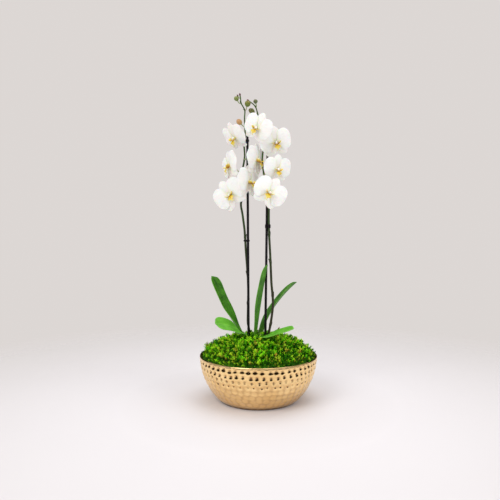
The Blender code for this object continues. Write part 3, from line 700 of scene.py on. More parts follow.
def makeStake(side, paint):
    foot = mossTop(0) - layout["stakeDepth"]
    radius = layout["stakeRadius"] * layout["stakeSwell"]
    length = layout["stakeLength"]
    profile = [(0, foot), (radius * 0.4, foot), (radius, foot + stakeMake["point"])]
    for share in stakeMake["joints"]:  # moulded joints, as on a cane
        level = foot + length * share
        profile += [(radius * 0.95, level - 4 * mm), (radius, level - 1 * mm), (radius * 1.06, level),
                    (radius * 0.93, level + 0.6 * mm), (radius * 0.95, level + 4 * mm)]
    top = foot + length
    profile += [(radius * 0.95, top - 2 * mm), (radius * 0.75, top - 0.6 * mm), (radius * 0.3, top - 0.1 * mm),
                (0, top)]
    stake = lathe("stake_" + side + "Cane", profile, 24)
    for vertex in stake.data.vertices:
        vertex.co += stakeAt(side, vertex.co.z) - Vector((0, 0, vertex.co.z))
    finishPiece(stake, paint, "black_plastic", "stake_" + side)


def stemMaterial():
    paint = Paint("flowerSpike", {"Specular IOR Level": 0.4})
    spot = paint.place()
    mottle = paint.cloud(spot, 90.0, 4.0)
    streaks = paint.cloud(paint.place("Object", (900, 900, 40)), 1.0, 2.0)
    height = paint.part(spot, 2)
    low = paint.mixed(paint.clamped(height, 0.22, 0.46), (0.032, 0.024, 0.010), (0.018, 0.050, 0.008))
    green = paint.over(low, (0.050, 0.115, 0.016), height, 0.50, 0.74)
    tone = paint.over(green, (0.040, 0.020, 0.018), mottle, 0.45, 0.75, 0.5)
    paint.colour(paint.over(tone, (0.085, 0.16, 0.030), streaks, 0.5, 0.8, 0.35))
    paint.rough(0.45 + mottle * 0.2)
    paint.bump(streaks, 0.08 * mm, 0.5)
    return paint


def bractShape():  # a papery scale that clasps the stem, of unit length, facing +X
    def place(u, v):
        turn = u * math.radians(stemMake["bractWrap"]) * (1 - v) ** 0.6
        girth = stemMake["bractGirth"]
        return Vector((math.cos(turn) * (1 + 0.25 * v + 1.1 * v ** 3) * girth,
                       math.sin(turn) * girth * (1 + 0.1 * v), v))
    bract = sheetFrom("bract", 8, 8, place)
    thickened(bract, 0.035, 1.0)
    return bract


def makeSpikes(paint):
    bract = bractShape()
    for side in ("left", "right"):
        path = spikePath(side)
        marks = [bowlMake["height"] + rise * mm for rise in stemMake[side + "Nodes"]]
        marks += [sprayPoint(side, (0, 0, rise)).z for stalkSide, rise in stalkHeights() if stalkSide == side]
        points, radii = [], []
        for lower, upper in zip(path, path[1:]):
            steps = max(2, round((upper - lower).length / (4 * mm)))
            for k in range(steps):
                points.append(lower.lerp(upper, k / steps))
        points.append(path[-1])
        for point in points:
            swell = sum(math.exp(-((point.z - mark) / stemMake["nodeHalf"]) ** 2) for mark in marks)
            wide = spikeRadius(path, point.z) * layout["spikeSwell"]
            radii.append(wide * (1 + stemMake["swelling"] * min(swell, 1)))
        for turn in range(3):  # round off the corners of the path
            rounded = [(a + b * 2 + c) / 4 for a, b, c in zip(points, points[1:], points[2:])]
            points = [points[0]] + rounded + [points[-1]]
        spike = strand("spike_" + side + "Stem", points, radii, 14, 1)
        others = []
        for index, mark in enumerate(sorted(marks)):
            spot = atHeight(path, mark)
            along = (atHeight(path, mark + 5 * mm) - spot)
            along = along.normalized() if along.length > 1e-5 else Vector((0, 0, 1))
            turned = along.to_track_quat('Z', 'Y').to_matrix().to_4x4()
            size = stemMake["bractLength"] * (1 if index < 4 else 0.62)
            girth = spikeRadius(path, mark) * (1 + stemMake["swelling"]) * 1.06 / stemMake["bractGirth"]
            matrix = (Matrix.Translation(spot - along * 0.5 * mm) @ turned @ Matrix.Rotation(index * 2.7, 4, 'Z')
                      @ Matrix.Diagonal((girth, girth, size, 1)))
            others.append(copied(bract, "scale", matrix))
        spike = joinPieces(spike, *others)
        finishPiece(spike, paint, "stem", "spike_" + side, angle=50)
    bpy.data.objects.remove(bract)


clipMake = {"wall": 1.2 * mm, "room": 0.5 * mm, "tab": 1.0 * mm, "edge": 0.3 * mm,
            "left_low": (291 * mm, 4 * mm, 3.0 * mm), "left_high": (1.78, 5 * mm, 9.5 * mm),
            "right": (328 * mm, 9 * mm, 3.0 * mm)}  # rise (in units on the spray), height of the ring, tabs


def makeClip(name, side, height, tall, wings, paint):
    path = spikePath(side)
    stake = stakeAt(side, height)
    spike = atHeight(path, height)
    reach = spike - stake
    inner = max(layout["stakeRadius"], spikeRadius(path, height)) + clipMake["room"]
    deselectAll()
    bpy.ops.mesh.primitive_cylinder_add(vertices=32, radius=inner, depth=tall, end_fill_type='NOTHING',
                                        location=(0, 0, 0))
    ring = bpy.context.object
    for vertex in ring.data.vertices:  # stretch the ring round both stems
        vertex.co.x += (0.5 if vertex.co.x > 0 else -0.5) * reach.length
    wall = ring.modifiers.new("Wall", 'SOLIDIFY')
    wall.thickness = clipMake["wall"]
    wall.offset = 1
    edge = ring.modifiers.new("Edge", 'BEVEL')
    edge.width = clipMake["edge"]
    edge.segments = 2
    applyAll(ring)
    parts = [ring]
    for turn in (-1, 1):  # the finger tabs of a sprung clip
        def place(u, v):
            out = inner + clipMake["wall"] * 0.6 + v * wings
            half = tall * (0.42 + 0.30 * math.sin(math.pi * min(v * 1.1, 1)))
            return Vector((turn * 0.25 * out * v, -out, u * half))
        tab = sheetFrom("tab", 6, 8, place)
        thickened(tab, clipMake["tab"])
        parts.append(tab)
    clip = joinPieces(*parts)
    turned = Matrix.Rotation(math.atan2(reach.y, reach.x), 4, 'Z')
    clip.data.transform(Matrix.Translation(stake.lerp(spike, 0.5)) @ turned)
    finishPiece(clip, paint, "black_plastic", name, angle=40)


def makeClips(paint):
    for place in ("left_low", "left_high", "right"):
        side = place.split("_")[0]
        rise, tall, wings = clipMake[place]
        level = sprayPoint(side, (0, 0, rise)).z if place == "left_high" else bowlMake["height"] + rise
        makeClip("clip_" + place, side, level, tall, wings, paint)


leafMake = {  # crown, seat, headings, rises, length, breadth, drop under the crown's top, fold, twists
    "leaf_left_upright": ("left", 195, (192, 172), (55, 72), 177 * mm, 45 * mm, 6 * mm, 33, (0, -30)),
    "leaf_left_low": ("left", 258, (240, 218), (40, 4), 122 * mm, 44 * mm, 10 * mm, 12, (0, -42)),
    "leaf_centre_tall": ("right", 200, (-40, -40), (81, 76), 192 * mm, 48 * mm, 7 * mm, 34, (30, 30)),
    "leaf_right_upright": ("right", 75, (58, -6), (62, 40), 178 * mm, 38 * mm, 8 * mm, 34, (0, 0)),
    "leaf_right_low": ("right", 266, (282, 334), (13, 24), 132 * mm, 42 * mm, 9 * mm, 18, (0, 18)),
}
leafShape = {"thickness": 1.9 * mm, "clasp": 0.25, "base": 0.55, "waviness": 0.9 * mm, "steps": 44}
leafPaints = {  # dark, light and vein colours
    "upright": ((0.016, 0.11, 0.004), (0.062, 0.27, 0.009), (0.17, 0.48, 0.030)),
    "low": ((0.075, 0.33, 0.012), (0.145, 0.50, 0.030), (0.27, 0.66, 0.08)),
}


def leafHalf(breadth, share):
    swell = leafShape["base"] + (1 - leafShape["base"]) * eased(share / 0.45)
    tip = math.sqrt(max(1 - max((share - 0.80) / 0.202, 0) ** 2.2, 0))
    return breadth / 2 * swell * tip


def leafFrame(headings, rises, twists, share):
    heading = compass(headings[0] + (headings[1] - headings[0]) * share ** 0.6)
    rise = math.radians(rises[0] + (rises[1] - rises[0]) * share)
    twist = twists[0] + (twists[1] - twists[0]) * min(share * 2, 1)
    along = heading * math.cos(rise) + Vector((0, 0, math.sin(rise)))
    across = Matrix.Rotation(math.radians(twist), 3, along) @ Vector((-heading.y, heading.x, 0))
    return along, across, along.cross(across)


def makeLeaf(name, choices, paint, seed):
    crown, seat, headings, rises, length, breadth, drop, fold, twists = choices
    fold = math.radians(fold)
    out = compass(seat)
    along, across, face = leafFrame(headings, rises, twists, 0)
    half = breadth / 2 * leafShape["clasp"]
    wrap = half * (-out.dot(face) * math.sin(fold) + abs(out.dot(across)) * math.cos(fold))
    curve = layout["crownRadius"] - math.sqrt(layout["crownRadius"] ** 2 - (half * math.cos(fold)) ** 2)
    start = Vector((*layout[crown + "Crown"], 0)) + out * (layout["crownRadius"] + layout["gap"] + 1 * mm
                                                          + max(wrap - curve, 0))
    start.z = mossTop(0) + layout["crownProud"] - drop
    steps = leafShape["steps"]
    spine = [start]
    for k in range(steps):
        along, across, face = leafFrame(headings, rises, twists, max(k / steps - 0.05, 0))
        spine.append(spine[-1] + along * length / steps)

    def place(u, v):
        v = min(v, 1) - 0.045 * u * u * eased((v - 0.55) / 0.45)  # a round tip
        index = min(int(v * steps), steps - 1)
        point = spine[index].lerp(spine[index + 1], v * steps - index)
        along, across, face = leafFrame(headings, rises, twists, v)
        half = leafHalf(breadth, v)
        keel = math.sqrt(u * u + 0.012) - 0.11
        ripple = leafShape["waviness"] * abs(u) ** 2 * math.sin(v * 9 + seed * 2 + u) * eased(v * 3)
        curl = -0.06 * half * u ** 4
        spot = point + across * half * u * math.cos(fold) * (1 - 0.04 * u * u)
        return spot + face * (half * keel * math.sin(fold) + ripple + curl)
    leaf = sheetFrom(name.replace("leaf", "blade"), 14, steps, place)
    thickened(leaf, leafShape["thickness"])
    finishPiece(leaf, paint, "leaf", name)


def leafMaterial(name, dark, light, vein):
    paint = Paint(name, {"Specular IOR Level": 0.35})
    across, along = paint.acrossAlong()
    middle = paint.node("Math", {"operation": 'ABSOLUTE'}, {0: across - 0.5})
    spot = paint.place()
    mottle = paint.cloud(spot, 38.0, 5.0, 0.6)
    veins = paint.cloud(paint.place("UV", (46, 1.5, 1)), 1.0, 3.0, 0.6)
    tone = paint.over(dark, light, mottle, 0.35, 0.65)
    tone = paint.over(tone, vein, veins, 0.45, 0.7, 0.4)
    tone = paint.over(tone, vein, middle, 0.030, 0.0, 0.7)
    # Both edges are lightened with the vein colour: a painted highlight along the leaf margins.
    tone = paint.over(tone, vein, middle, 0.44, 0.5, 0.5)
    tone = paint.over(tone, (0.19, 0.36, 0.05), along, 0.18, 0.0, 0.5)
    paint.colour(tone)
    paint.rough(0.36 + mottle * 0.2)
    paint.bump(veins * 0.7 + mottle * 0.3, 0.25 * mm, 0.6)
    return paint


def makeCrown(side, paint):
    radius = layout["crownRadius"]
    top = mossTop(0) + layout["crownProud"]
    foot = top - layout["crownDepth"]
    profile = [(0, foot), (radius * 0.8, foot)]
    level = top - 55 * mm
    while level < top - 6 * mm:  # the scars of old leaves ring the stem
        profile += [(radius * 0.93, level), (radius * 0.99, level + 3.2 * mm), (radius * 0.96, level + 3.8 * mm)]
        level += 5 * mm
    profile += [(radius * 0.93, top - 5 * mm), (radius * 0.72, top - 1.5 * mm), (radius * 0.3, top - 0.2 * mm),
                (0, top)]
    crown = lathe("crown_" + side + "Stem", profile, 32)
    for vertex in crown.data.vertices:
        swell = 1 + 0.03 * noise.noise(vertex.co * 160)
        vertex.co.x *= swell
        vertex.co.y *= swell
    crown.data.transform(Matrix.Translation((*layout[side + "Crown"], 0)))
    finishPiece(crown, paint, "stem", "crown_" + side)


def crownMaterial():
    paint = Paint("plantCrown", {})
    spot = paint.place()
    mottle = paint.cloud(spot, 120.0, 4.0)
    tone = paint.mixed(paint.clamped(mottle, 0.35, 0.7), (0.075, 0.17, 0.030), (0.15, 0.16, 0.055))
    paint.colour(paint.mixed(paint.clamped(paint.cloud(spot, 60.0), 0.55, 0.7) * 0.6, tone, (0.12, 0.07, 0.03)))
    paint.rough(0.5 + mottle * 0.3)
    paint.bump(paint.cloud(paint.place("Object", (400, 400, 60)), 1.0, 3.0), 0.3 * mm, 0.6)
    return paint


flowerMake = {  # stake side, centre, (yaw, nod, roll), size, where its stalk leaves
    "flower_1": ("left", (0.24, -0.458, 2.01), (-30, 8, 30), 0.89, (1.93, 275)),
    "flower_2": ("right", (0.23, -0.167, 1.70), (12, 16, -14), 0.95, (1.58, 290)),
    "flower_3": ("left", (0.26, -0.125, 1.23), (60, 5, 0), 1.0, (1.27, 275)),
    "flower_4": ("left", (-0.367, -0.14, 1.83), (-50, 35, 0), 0.9, (1.74, 190)),
    "flower_5": ("left", (-0.50, -0.15, 1.07), (-62, 8, -15), 0.95, (0.95, 190)),
    "flower_6": ("left", (-0.484, -0.18, 0.31), (-15, 5, -38), 1.0, (0.15, 215)),
    "flower_7": ("left", (0.05, -0.23, 0.64), (56, 2, 0), 1.0, (0.58, 275)),
    "flower_8": ("right", (0.056, -0.48, 0.328), (5, 3, 33), 0.97, (0.20, 265)),
    "flower_9": ("right", (0.274, -0.29, 0.967), (22, 15, 0), 0.85, (0.86, 280)),
}
petalMake = {"span": 91 * mm, "breadth": 58 * mm, "sepalLength": 43 * mm, "sepalBreadth": 31 * mm,
             "hub": 2.5 * mm, "thickness": 0.9 * mm, "sweep": 0.10, "cup": 2.4 * mm, "crease": 0.8 * mm,
             "roundness": 0.46, "petalLean": 0.12, "sepalDepth": 3.0 * mm, "opening": (1.6, 1.3, 1.5, 1.0)}
bladeMake = {  # turn, waist at the root, narrowing to the tip, cells, ruffle, seed
    "petalRight": (79, 0.36, 0.06, 18, 1.3 * mm, 0.4), "petalLeft": (281, 0.36, 0.06, 18, 1.3 * mm, 2.1),
    "sepalTop": (0, 0.5, 0.26, 14, 0.6 * mm, 1.0), "sepalRight": (140, 0.5, 0.34, 14, 0.8 * mm, 3.0),
    "sepalLeft": (220, 0.5, 0.34, 14, 0.8 * mm, 5.0),
}
lipMake = {"root": 4.4 * mm, "tongueThickness": 0.9 * mm, "lobeThickness": 0.8 * mm,
           "bend": ((1.1, 0), (6, 1.0), (11, 3.2), (14.2, 6.8), (14.6, 10.8), (13.4, 14.6)),
           "cirrus": ((1.0, -13.2, -18.4), (2.2, -12.6, -21.0), (4.0, -13.6, -21.8), (4.9, -15.4, -20.4),
                      (4.2, -16.6, -19.0)),
           "cirrusRadii": (0.55 * mm, 0.45 * mm, 0.36 * mm, 0.28 * mm, 0.12 * mm)}
stalkMake = {"radii": (1.7 * mm, 1.25 * mm, 1.2 * mm, 1.5 * mm, 2.0 * mm, 2.6 * mm), "knee": 5.3 * mm,
             "budRadii": (1.3 * mm, 1.0 * mm, 1.3 * mm), "budKnee": 2.4 * mm}
budMake = {  # stake side, centre, (length, width), where its stalk leaves, colours of its base and tip
    "bud_1": ("left", (-0.307, 0.0, 2.91), (13 * mm, 12 * mm), (2.79, 180),
              (0.16, 0.23, 0.05), (0.26, 0.28, 0.10)),
    "bud_2": ("left", (-0.006, -0.08, 2.749), (15.5 * mm, 15 * mm), (2.60, 300),
              (0.12, 0.20, 0.03), (0.22, 0.18, 0.03)),
    "bud_3": ("left", (-0.228, -0.05, 2.27), (16 * mm, 14 * mm), (2.17, 190),
              (0.52, 0.34, 0.13), (0.50, 0.27, 0.12)),
    "bud_4": ("right", (-0.309, -0.07, 2.813), (11 * mm, 11 * mm), (2.69, 290),
              (0.10, 0.15, 0.05), (0.15, 0.14, 0.07)),
    "bud_5": ("right", (-0.409, 0.0, 2.579), (17 * mm, 13 * mm), (2.50, 190),
              (0.11, 0.14, 0.03), (0.14, 0.12, 0.03)),
    "bud_6": ("left", (-0.275, 0.0, 2.995), (6 * mm, 4 * mm), (2.93, 180),
              (0.12, 0.08, 0.05), (0.14, 0.05, 0.06)),
}
tipBudMake = {"half": (2.5 * mm, 2.5 * mm, 3.9 * mm), "seat": 3.5 * mm, "base": (0.10, 0.05, 0.05),
              "tip": (0.20, 0.07, 0.09)}


def stalkHeights():
    heights = [(side, leaving[0]) for side, centre, turns, size, leaving in flowerMake.values()]
    return heights + [(choice[0], choice[3][0]) for choice in budMake.values()]


def roundPlace(u, v):  # spreads a square grid over a round outline
    w = 2 * v - 1
    flat = petalMake["roundness"]
    return u * math.sqrt(1 - flat * w * w), w * math.sqrt(1 - flat * u * u)


def blade(name, length, breadth, depth=0, lean=0):  # one petal or sepal
    angle, waist, point, cells, ruffle, seed = bladeMake[name]
    turn = math.radians(angle)
    along = Vector((math.sin(turn), 0, math.cos(turn)))
    across = Vector((math.cos(turn), 0, -math.sin(turn)))
    hub = petalMake["hub"]

    def place(u, v):
        x, w = roundPlace(u, v)
        share = (w + 1) / 2
        narrow = (waist + (1 - waist) * eased(share / 0.24)) * (1 - point * eased((share - 0.5) / 0.5))
        side = x * breadth / 2 * narrow
        far = hub + (length - hub) * (share + 0.05 * x * x * (1 - share)) + lean * side * share
        spot = along * far + across * side
        sweep = 2 * petalMake["sweep"] / petalMake["span"] * spot.length_squared
        rim = math.hypot(x, w) ** 4
        wave = ruffle * rim * math.sin(5 * math.atan2(x, w) + seed) * eased(share * 3)
        crease = petalMake["crease"] * math.exp(-(x / 0.10) ** 2) * eased(share * 2.5) * (1 - share * 0.7)
        cup = -petalMake["cup"] * (1 - x * x) * math.sin(math.pi * min(max(share, 0), 1))
        spot.y = depth + sweep + wave + crease + cup
        return spot
    piece = sheetFrom(name, cells, cells, place)
    thickened(piece, petalMake["thickness"])
    return piece


def petalMaterial(name, base, faint, hint):
    paint = Paint(name, {"Subsurface Weight": 0.18, "Subsurface Scale": 0.004, "Specular IOR Level": 0.35,
                         "Sheen Weight": 0.15})
    across, along = paint.acrossAlong()
    fan = paint.node("CombineXYZ", None, {0: across * 34.0, 1: along * 3.0, 2: 0.0})
    veins = paint.cloud(fan, 1.0, 2.0, 0.5)
    web = paint.cloud(paint.place("UV", (26, 26, 1)), 1.0, 3.0)
    grain = paint.cloud(paint.place(), 900.0, 2.0)
    lines = paint.clamped(veins, 0.52, 0.70)
    tone = paint.mixed(lines * 0.5, base, faint)
    tone = paint.over(tone, faint, web, 0.5, 0.8, 0.25)
    tone = paint.over(tone, hint, along, 0.22, 0.0, 0.7)
    paint.colour(tone)
    paint.rough(0.48 + grain * 0.15)
    paint.bump(lines * 0.8 + grain * 0.2 + web * 0.4, 0.22 * mm, 0.7)
    return paint


def lipMaterial():
    paint = Paint("lip", {"Subsurface Weight": 0.15, "Subsurface Scale": 0.002, "Specular IOR Level": 0.4})
    across, along = paint.acrossAlong()
    spot = paint.place()
    stripes = paint.node("TexWave", {"bands_direction": 'X'},
                         {"Vector": paint.place("UV"), "Scale": 5.0, "Distortion": 2.5, "Detail": 1.0})
    specks = paint.cloud(spot, 800.0, 2.0, 0.6)
    blush = paint.cloud(spot, 160.0, 3.0)
    tone = paint.node("ValToRGB", {"stops": ((0.0, (0.36, 0.09, 0.010)), (0.20, (0.60, 0.30, 0.01)),
                                             (0.50, (0.86, 0.64, 0.03)), (0.82, (0.90, 0.80, 0.22)),
                                             (1.0, (0.92, 0.88, 0.52)))}, {"Fac": along})
    red = paint.clamped(stripes, 0.62, 0.8) * paint.clamped(along, 0.75, 0.2)
    tone = paint.mixed(red * 0.75, tone, (0.33, 0.06, 0.015))
    tone = paint.over(tone, (0.52, 0.27, 0.03), blush, 0.52, 0.68, 0.6)
    tone = paint.mixed(paint.clamped(specks, 0.64, 0.70) * paint.clamped(along, 0.6, 0.0), tone, (0.25, 0.03, 0.01))
    paint.colour(tone)
    paint.rough(0.35 + specks * 0.2)
    paint.bump(stripes * 0.3 + blush * 0.7, 0.2 * mm, 0.6)
    return paint


def columnShape():
    column = ball(20, 14)
    for vertex in column.data.vertices:
        x, y, z = vertex.co
        share = (1 - y) / 2  # 0 at the back, 1 at the front
        wide = 2.6 + 0.9 * math.sin(math.pi * share) - 0.5 * eased((share - 0.75) / 0.25)
        hollow = 0.9 * eased(share * 1.6) * max(-z, 0) ** 2
        vertex.co = Vector((x * wide, -share * 10.2 + 0.6, z * (wide - 0.4) + hollow * wide * 0.5 + 0.6
                            - 2.2 * share ** 2)) * mm
    cap = ball(16, 10)
    for vertex in cap.data.vertices:
        x, y, z = vertex.co
        vertex.co = Vector((x * 2.2, -9.4 + y * 1.5, -1.4 + z * 1.7 - 0.25 * math.cos(x * 3) * (z < 0))) * mm
    return joinPieces(column, cap)


def lipShape():
    root = -lipMake["root"]

    def tongue(u, v):  # the middle lobe: keeled, broad, then arrow-shaped
        bend = lipMake["bend"]
        spot = v * (len(bend) - 1)
        index = min(int(spot), len(bend) - 2)
        mixed = eased(spot - index) * 0.4 + (spot - index) * 0.6
        forward = bend[index][0] + (bend[index + 1][0] - bend[index][0]) * mixed
        down = bend[index][1] + (bend[index + 1][1] - bend[index][1]) * mixed
        half = 3.0 + 6.0 * math.exp(-((v - 0.64) / 0.19) ** 2) - 2.0 * eased((v - 0.74) / 0.26)
        side = u * half
        lift = 0.35 * abs(side) - 0.9 * math.exp(-(u / 0.25) ** 2)
        return Vector((side * mm, (-forward + lift * 0.5) * mm, root + (-down + lift * 0.6) * mm))
    middle = sheetFrom("tongue", 12, 22, tongue)
    thickened(middle, lipMake["tongueThickness"])
    parts = [middle]
    for turn in (-1, 1):
        def lobe(u, v):  # side lobes rise and curl round the column
            half = 2.0 + 4.6 * math.sin(math.pi * min(0.12 + v * 0.78, 1)) ** 0.8
            aside = 1.8 + 10.6 * v ** 0.85 - 0.8 * v ** 3
            up = -0.5 + 7.4 * v ** 1.4
            forward = 5.5 + 4.2 * v - 1.0 * v * v
            bulge = 1.1 * (1 - u * u)
            return Vector((turn * (aside + bulge) * mm, (-forward - u * half) * mm, root + (up - 0.9 * u * v) * mm))
        side = sheetFrom("lobe", 10, 14, lobe)
        thickened(side, lipMake["lobeThickness"])
        parts.append(side)
        hook = [Vector((turn * x, y, z)) * mm for x, y, z in lipMake["cirrus"]]
        parts.append(strand("cirrus", hook, lipMake["cirrusRadii"], 8, 3))
    callus = ball(16, 10)
    for vertex in callus.data.vertices:
        x, y, z = vertex.co
        cleft = 0.8 * math.exp(-(x / 0.3) ** 2) * (z > 0)
        vertex.co = Vector((x * 2.4, -8.0 + y * 2.0, -4.6 + z * 1.9 - cleft)) * mm
    parts.append(callus)
    return joinPieces(*parts)


def stalkMaterial():
    paint = Paint("flowerStalk", {"Specular IOR Level": 0.4})
    spot = paint.place()
    mottle = paint.cloud(spot, 130.0, 3.0)
    tone = paint.mixed(paint.clamped(mottle, 0.35, 0.7), (0.16, 0.25, 0.06), (0.36, 0.42, 0.20))
    paint.colour(paint.mixed(paint.clamped(paint.cloud(spot, 45.0), 0.52, 0.68) * 0.5, tone, (0.42, 0.30, 0.22)))
    paint.rough(0.4 + mottle * 0.2)
    paint.bump(paint.cloud(spot, 500.0), 0.05 * mm, 0.5)
    return paint


def makeFlowers():
    white = petalMaterial("petalWhite", (0.95, 0.95, 0.94), (0.82, 0.83, 0.81), (0.84, 0.86, 0.50))
    back = petalMaterial("sepalWhite", (0.93, 0.925, 0.90), (0.78, 0.79, 0.72), (0.72, 0.76, 0.42))
    gold = lipMaterial()
    green = stalkMaterial()
    long, wide, lean = petalMake["span"] / 2, petalMake["breadth"], petalMake["petalLean"]
    petals = joinPieces(blade("petalRight", long, wide, lean=-lean), blade("petalLeft", long, wide, lean=lean))
    column = columnShape()
    tall, wide, depth = petalMake["sepalLength"], petalMake["sepalBreadth"], petalMake["sepalDepth"]
    sepals = joinPieces(*[blade(name, tall, wide, depth) for name in ("sepalTop", "sepalRight", "sepalLeft")])
    lip = lipShape()
    rng = random.Random(5)
    for name, (side, centre, (yaw, nod, roll), size, (leaving, angle)) in flowerMake.items():
        turn = (Matrix.Rotation(math.radians(yaw), 4, 'Z') @ Matrix.Rotation(math.radians(nod), 4, 'X')
                @ Matrix.Rotation(math.radians(roll), 4, 'Y'))
        place = Matrix.Translation(sprayPoint(side, centre)) @ turn @ Matrix.Scale(size, 4)
        bends = [rng.uniform(-1, 1) for k in range(4)]
        for label, source, paint, slot in (("Petals", petals, white, "petal"), ("Sepals", sepals, back, "petal"),
                                           ("Column", column, white, "petal"), ("Lip", lip, gold, "lip")):
            piece = copied(source, name + label, Matrix.Identity(4))
            if label in ("Petals", "Sepals"):  # no two flowers open alike
                for vertex in piece.data.vertices:
                    x, z = vertex.co.x / long, vertex.co.z / long
                    ways = (x * x, x, z * z, x * z)
                    vertex.co.y += sum(a * b * c for a, b, c in zip(bends, petalMake["opening"], ways)) * mm
            piece.data.transform(place)
            node = {"Petals": "_petals", "Column": "_petals", "Sepals": "_sepals", "Lip": "_lip"}[label]
            finishPiece(piece, paint, slot, name + node)
        path = spikePath(side)
        origin = atHeight(path, sprayPoint(side, (0, 0, leaving)).z)
        out = compass(angle)
        start = origin + out * spikeRadius(path, origin.z) * 0.7
        knee = origin + out * (spikeRadius(path, origin.z) + stalkMake["knee"])
        behind = place @ Vector((0, 9 * mm, -2 * mm))
        rounding = knee.lerp(behind, 0.5) + Vector((0, 0, 0.08 * (behind - knee).length))
        hip = place @ Vector((0, 4.6 * mm, -0.8 * mm))
        hub = place @ Vector((0, 2.2 * mm, 0))
        stalk = strand(name + "Stalk", [start, knee, rounding, behind, hip, hub], stalkMake["radii"], 12, 6)
        finishPiece(stalk, green, "stem", name + "_sepals")
    for source in (petals, column, sepals, lip):
        bpy.data.objects.remove(source)


def budShape():
    bud = ball(30, 20)
    for vertex in bud.data.vertices:  # an egg with three closed seams and a blunt beak
        x, y, z = vertex.co
        turn = math.atan2(y, x)
        seam = 0.075 * math.exp(-(((turn / (2 * math.pi / 3)) % 1 - 0.5) / 0.07) ** 2) * (1 - z * z) ** 0.3
        ridge = 0.04 * math.cos(3 * turn + math.pi)
        fat = 1 + 0.10 * z - 0.12 * max(z, 0) ** 3
        vertex.co = Vector((x * (fat - seam + ridge), y * (fat - seam + ridge), z + 0.05 * max(z, 0) ** 6))
    return bud


def budMaterial(name, base, tip):
    paint = Paint(name, {"Specular IOR Level": 0.45, "Subsurface Weight": 0.1, "Subsurface Scale": 0.002})
    along = paint.part(paint.place("UV"), 1)
    spot = paint.place()
    mottle = paint.cloud(spot, 260.0, 3.0)
    fan = paint.cloud(paint.place("UV", (30, 2, 1)), 1.0, 2.0)
    tone = paint.over(base, tip, along, 0.25, 0.85)
    tone = paint.over(tone, tuple(min(1.7 * c, 1) for c in tip), fan, 0.5, 0.72, 0.4)
    paint.colour(paint.over(tone, tuple(0.45 * c for c in base), mottle, 0.5, 0.75, 0.45))
    paint.rough(0.38 + mottle * 0.2)
    paint.bump(fan * 0.6 + mottle * 0.4, 0.12 * mm, 0.6)
    return paint


def makeBuds(stalkPaint):
    bud = budShape()
    for name, (side, spans, (length, width), (leaving, angle), base, tip) in budMake.items():
        centre = sprayPoint(side, spans)
        path = spikePath(side)
        origin = atHeight(path, sprayPoint(side, (0, 0, leaving)).z)
        out = compass(angle)
        start = origin + out * spikeRadius(path, origin.z) * 0.6
        knee = origin + out * (spikeRadius(path, origin.z) + stalkMake["budKnee"])
        axis = (centre - knee).normalized()
        turned = axis.to_track_quat('Z', 'Y').to_matrix().to_4x4()
        matrix = Matrix.Translation(centre) @ turned @ Matrix.Diagonal((width / 2, width / 2, length / 2, 1))
        finishPiece(copied(bud, name + "Cup", matrix), budMaterial(name + "Skin", base, tip), "bud", name)
        end = centre - axis * length * 0.42
        stalk = strand(name + "Stalk", [start, knee, end], stalkMake["budRadii"], 10, 6)
        finishPiece(stalk, stalkPaint, "stem", name)
    for side in ("left", "right"):
        path = spikePath(side)
        axis = (path[-1] - path[-2]).normalized()
        centre = path[-1] + axis * (layout["gap"] + tipBudMake["seat"])
        turned = axis.to_track_quat('Z', 'Y').to_matrix().to_4x4()
        matrix = Matrix.Translation(centre) @ turned @ Matrix.Diagonal((*tipBudMake["half"], 1))
        tip = copied(bud, "tip_" + side + "Bud", matrix)
        skin = budMaterial("tipBud_" + side, tipBudMake["base"], tipBudMake["tip"])
        finishPiece(tip, skin, "bud", "tip_bud_" + side)
    bpy.data.objects.remove(bud)


twigMake = {"foot": (38 * mm, 2 * mm), "bends": ((0, 0), (4, 9), (9, 18), (12, 24), (14, 27), (16, 30)),
            "radii": (0.7 * mm, 0.6 * mm, 0.6 * mm, 0.6 * mm, 0.5 * mm, 0.4 * mm), "heads": 7,
            "head": (1.3 * mm, 1.2 * mm, 1.8 * mm), "seed": 3}


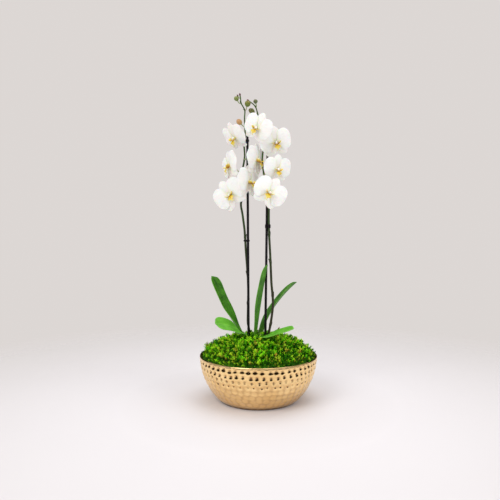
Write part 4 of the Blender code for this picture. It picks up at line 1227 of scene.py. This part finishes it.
def makeTwig():
    foot = Vector((*twigMake["foot"], 0))
    foot.z = mossTop(foot.length)
    points = [foot + Vector((aside, 0, rise)) * mm for aside, rise in twigMake["bends"]]
    stem = strand("twigStem", points, twigMake["radii"], 8, 4)
    parts = [stem]
    rng = random.Random(twigMake["seed"])
    for k in range(twigMake["heads"]):  # dry seed heads
        head = ball(10, 7)
        for vertex in head.data.vertices:
            vertex.co *= 1 + 0.25 * noise.noise(vertex.co * 2 + Vector((k, 0, 0)))
        aside = Vector((rng.uniform(-1.8, 1.8), rng.uniform(-1.5, 1.5), 0)) * mm
        spot = points[2].lerp(points[-1], 0.25 + 0.75 * k / (twigMake["heads"] - 1)) + aside
        turned = Matrix.Rotation(rng.uniform(-0.8, 0.8), 4, 'Y')
        head.data.transform(Matrix.Translation(spot) @ turned @ Matrix.Diagonal((*twigMake["head"], 1)))
        parts.append(head)
    twig = joinPieces(*parts)
    paint = Paint("dryTwig", {"Roughness": 0.85})
    spot = paint.place()
    paint.colour(paint.over((0.10, 0.035, 0.025), (0.36, 0.17, 0.10), paint.cloud(spot, 300.0), 0.4, 0.65))
    paint.bump(paint.cloud(spot, 900.0), 0.2 * mm, 0.8)
    finishPiece(twig, paint, "dry_stem", "dry_twig")


def paintMedium():
    paint = Paint("barkMix", {"Roughness": 0.95})
    spot = paint.place()
    chips = paint.node("TexVoronoi", None, {"Vector": spot, "Scale": 90.0, "Randomness": 1.0}, "Color")
    shade = paint.node("SeparateColor", None, {"Color": chips}, "Red")
    paint.colour(paint.mixed(shade, (0.045, 0.022, 0.012), (0.19, 0.10, 0.05)))
    paint.bump(paint.node("TexVoronoi", None, {"Vector": spot, "Scale": 90.0}, "Distance"), 3 * mm, 0.8)
    medium = nodes["growing_medium"]
    medium.data.materials.clear()
    medium.data.materials.append(paint.material)


setStage()
print("stage set")
makeBowl()
print("bowl hammered")
makeMossBed()
makeMossShoots(mossMaterial())
print("moss laid")
paintMedium()
blackPaint = stakeMaterial()
for side in ("left", "right"):
    makeStake(side, blackPaint)
makeSpikes(stemMaterial())
makeClips(blackPaint)
print("stakes, spikes and clips up")
crownPaint = crownMaterial()
uprightPaint = leafMaterial("darkLeaf", *leafPaints["upright"])
# The low leaves take a lighter copy of the same leaf colours.
lowPaint = leafMaterial("lighterLowLeaf", *leafPaints["low"])
for side in ("left", "right"):
    makeCrown(side, crownPaint)
for index, (name, choices) in enumerate(leafMake.items()):
    makeLeaf(name, choices, lowPaint if name.endswith("low") else uprightPaint, index)
print("leaves grown")
makeFlowers()
makeBuds(stalkMaterial())
print("flowers open")
makeTwig()
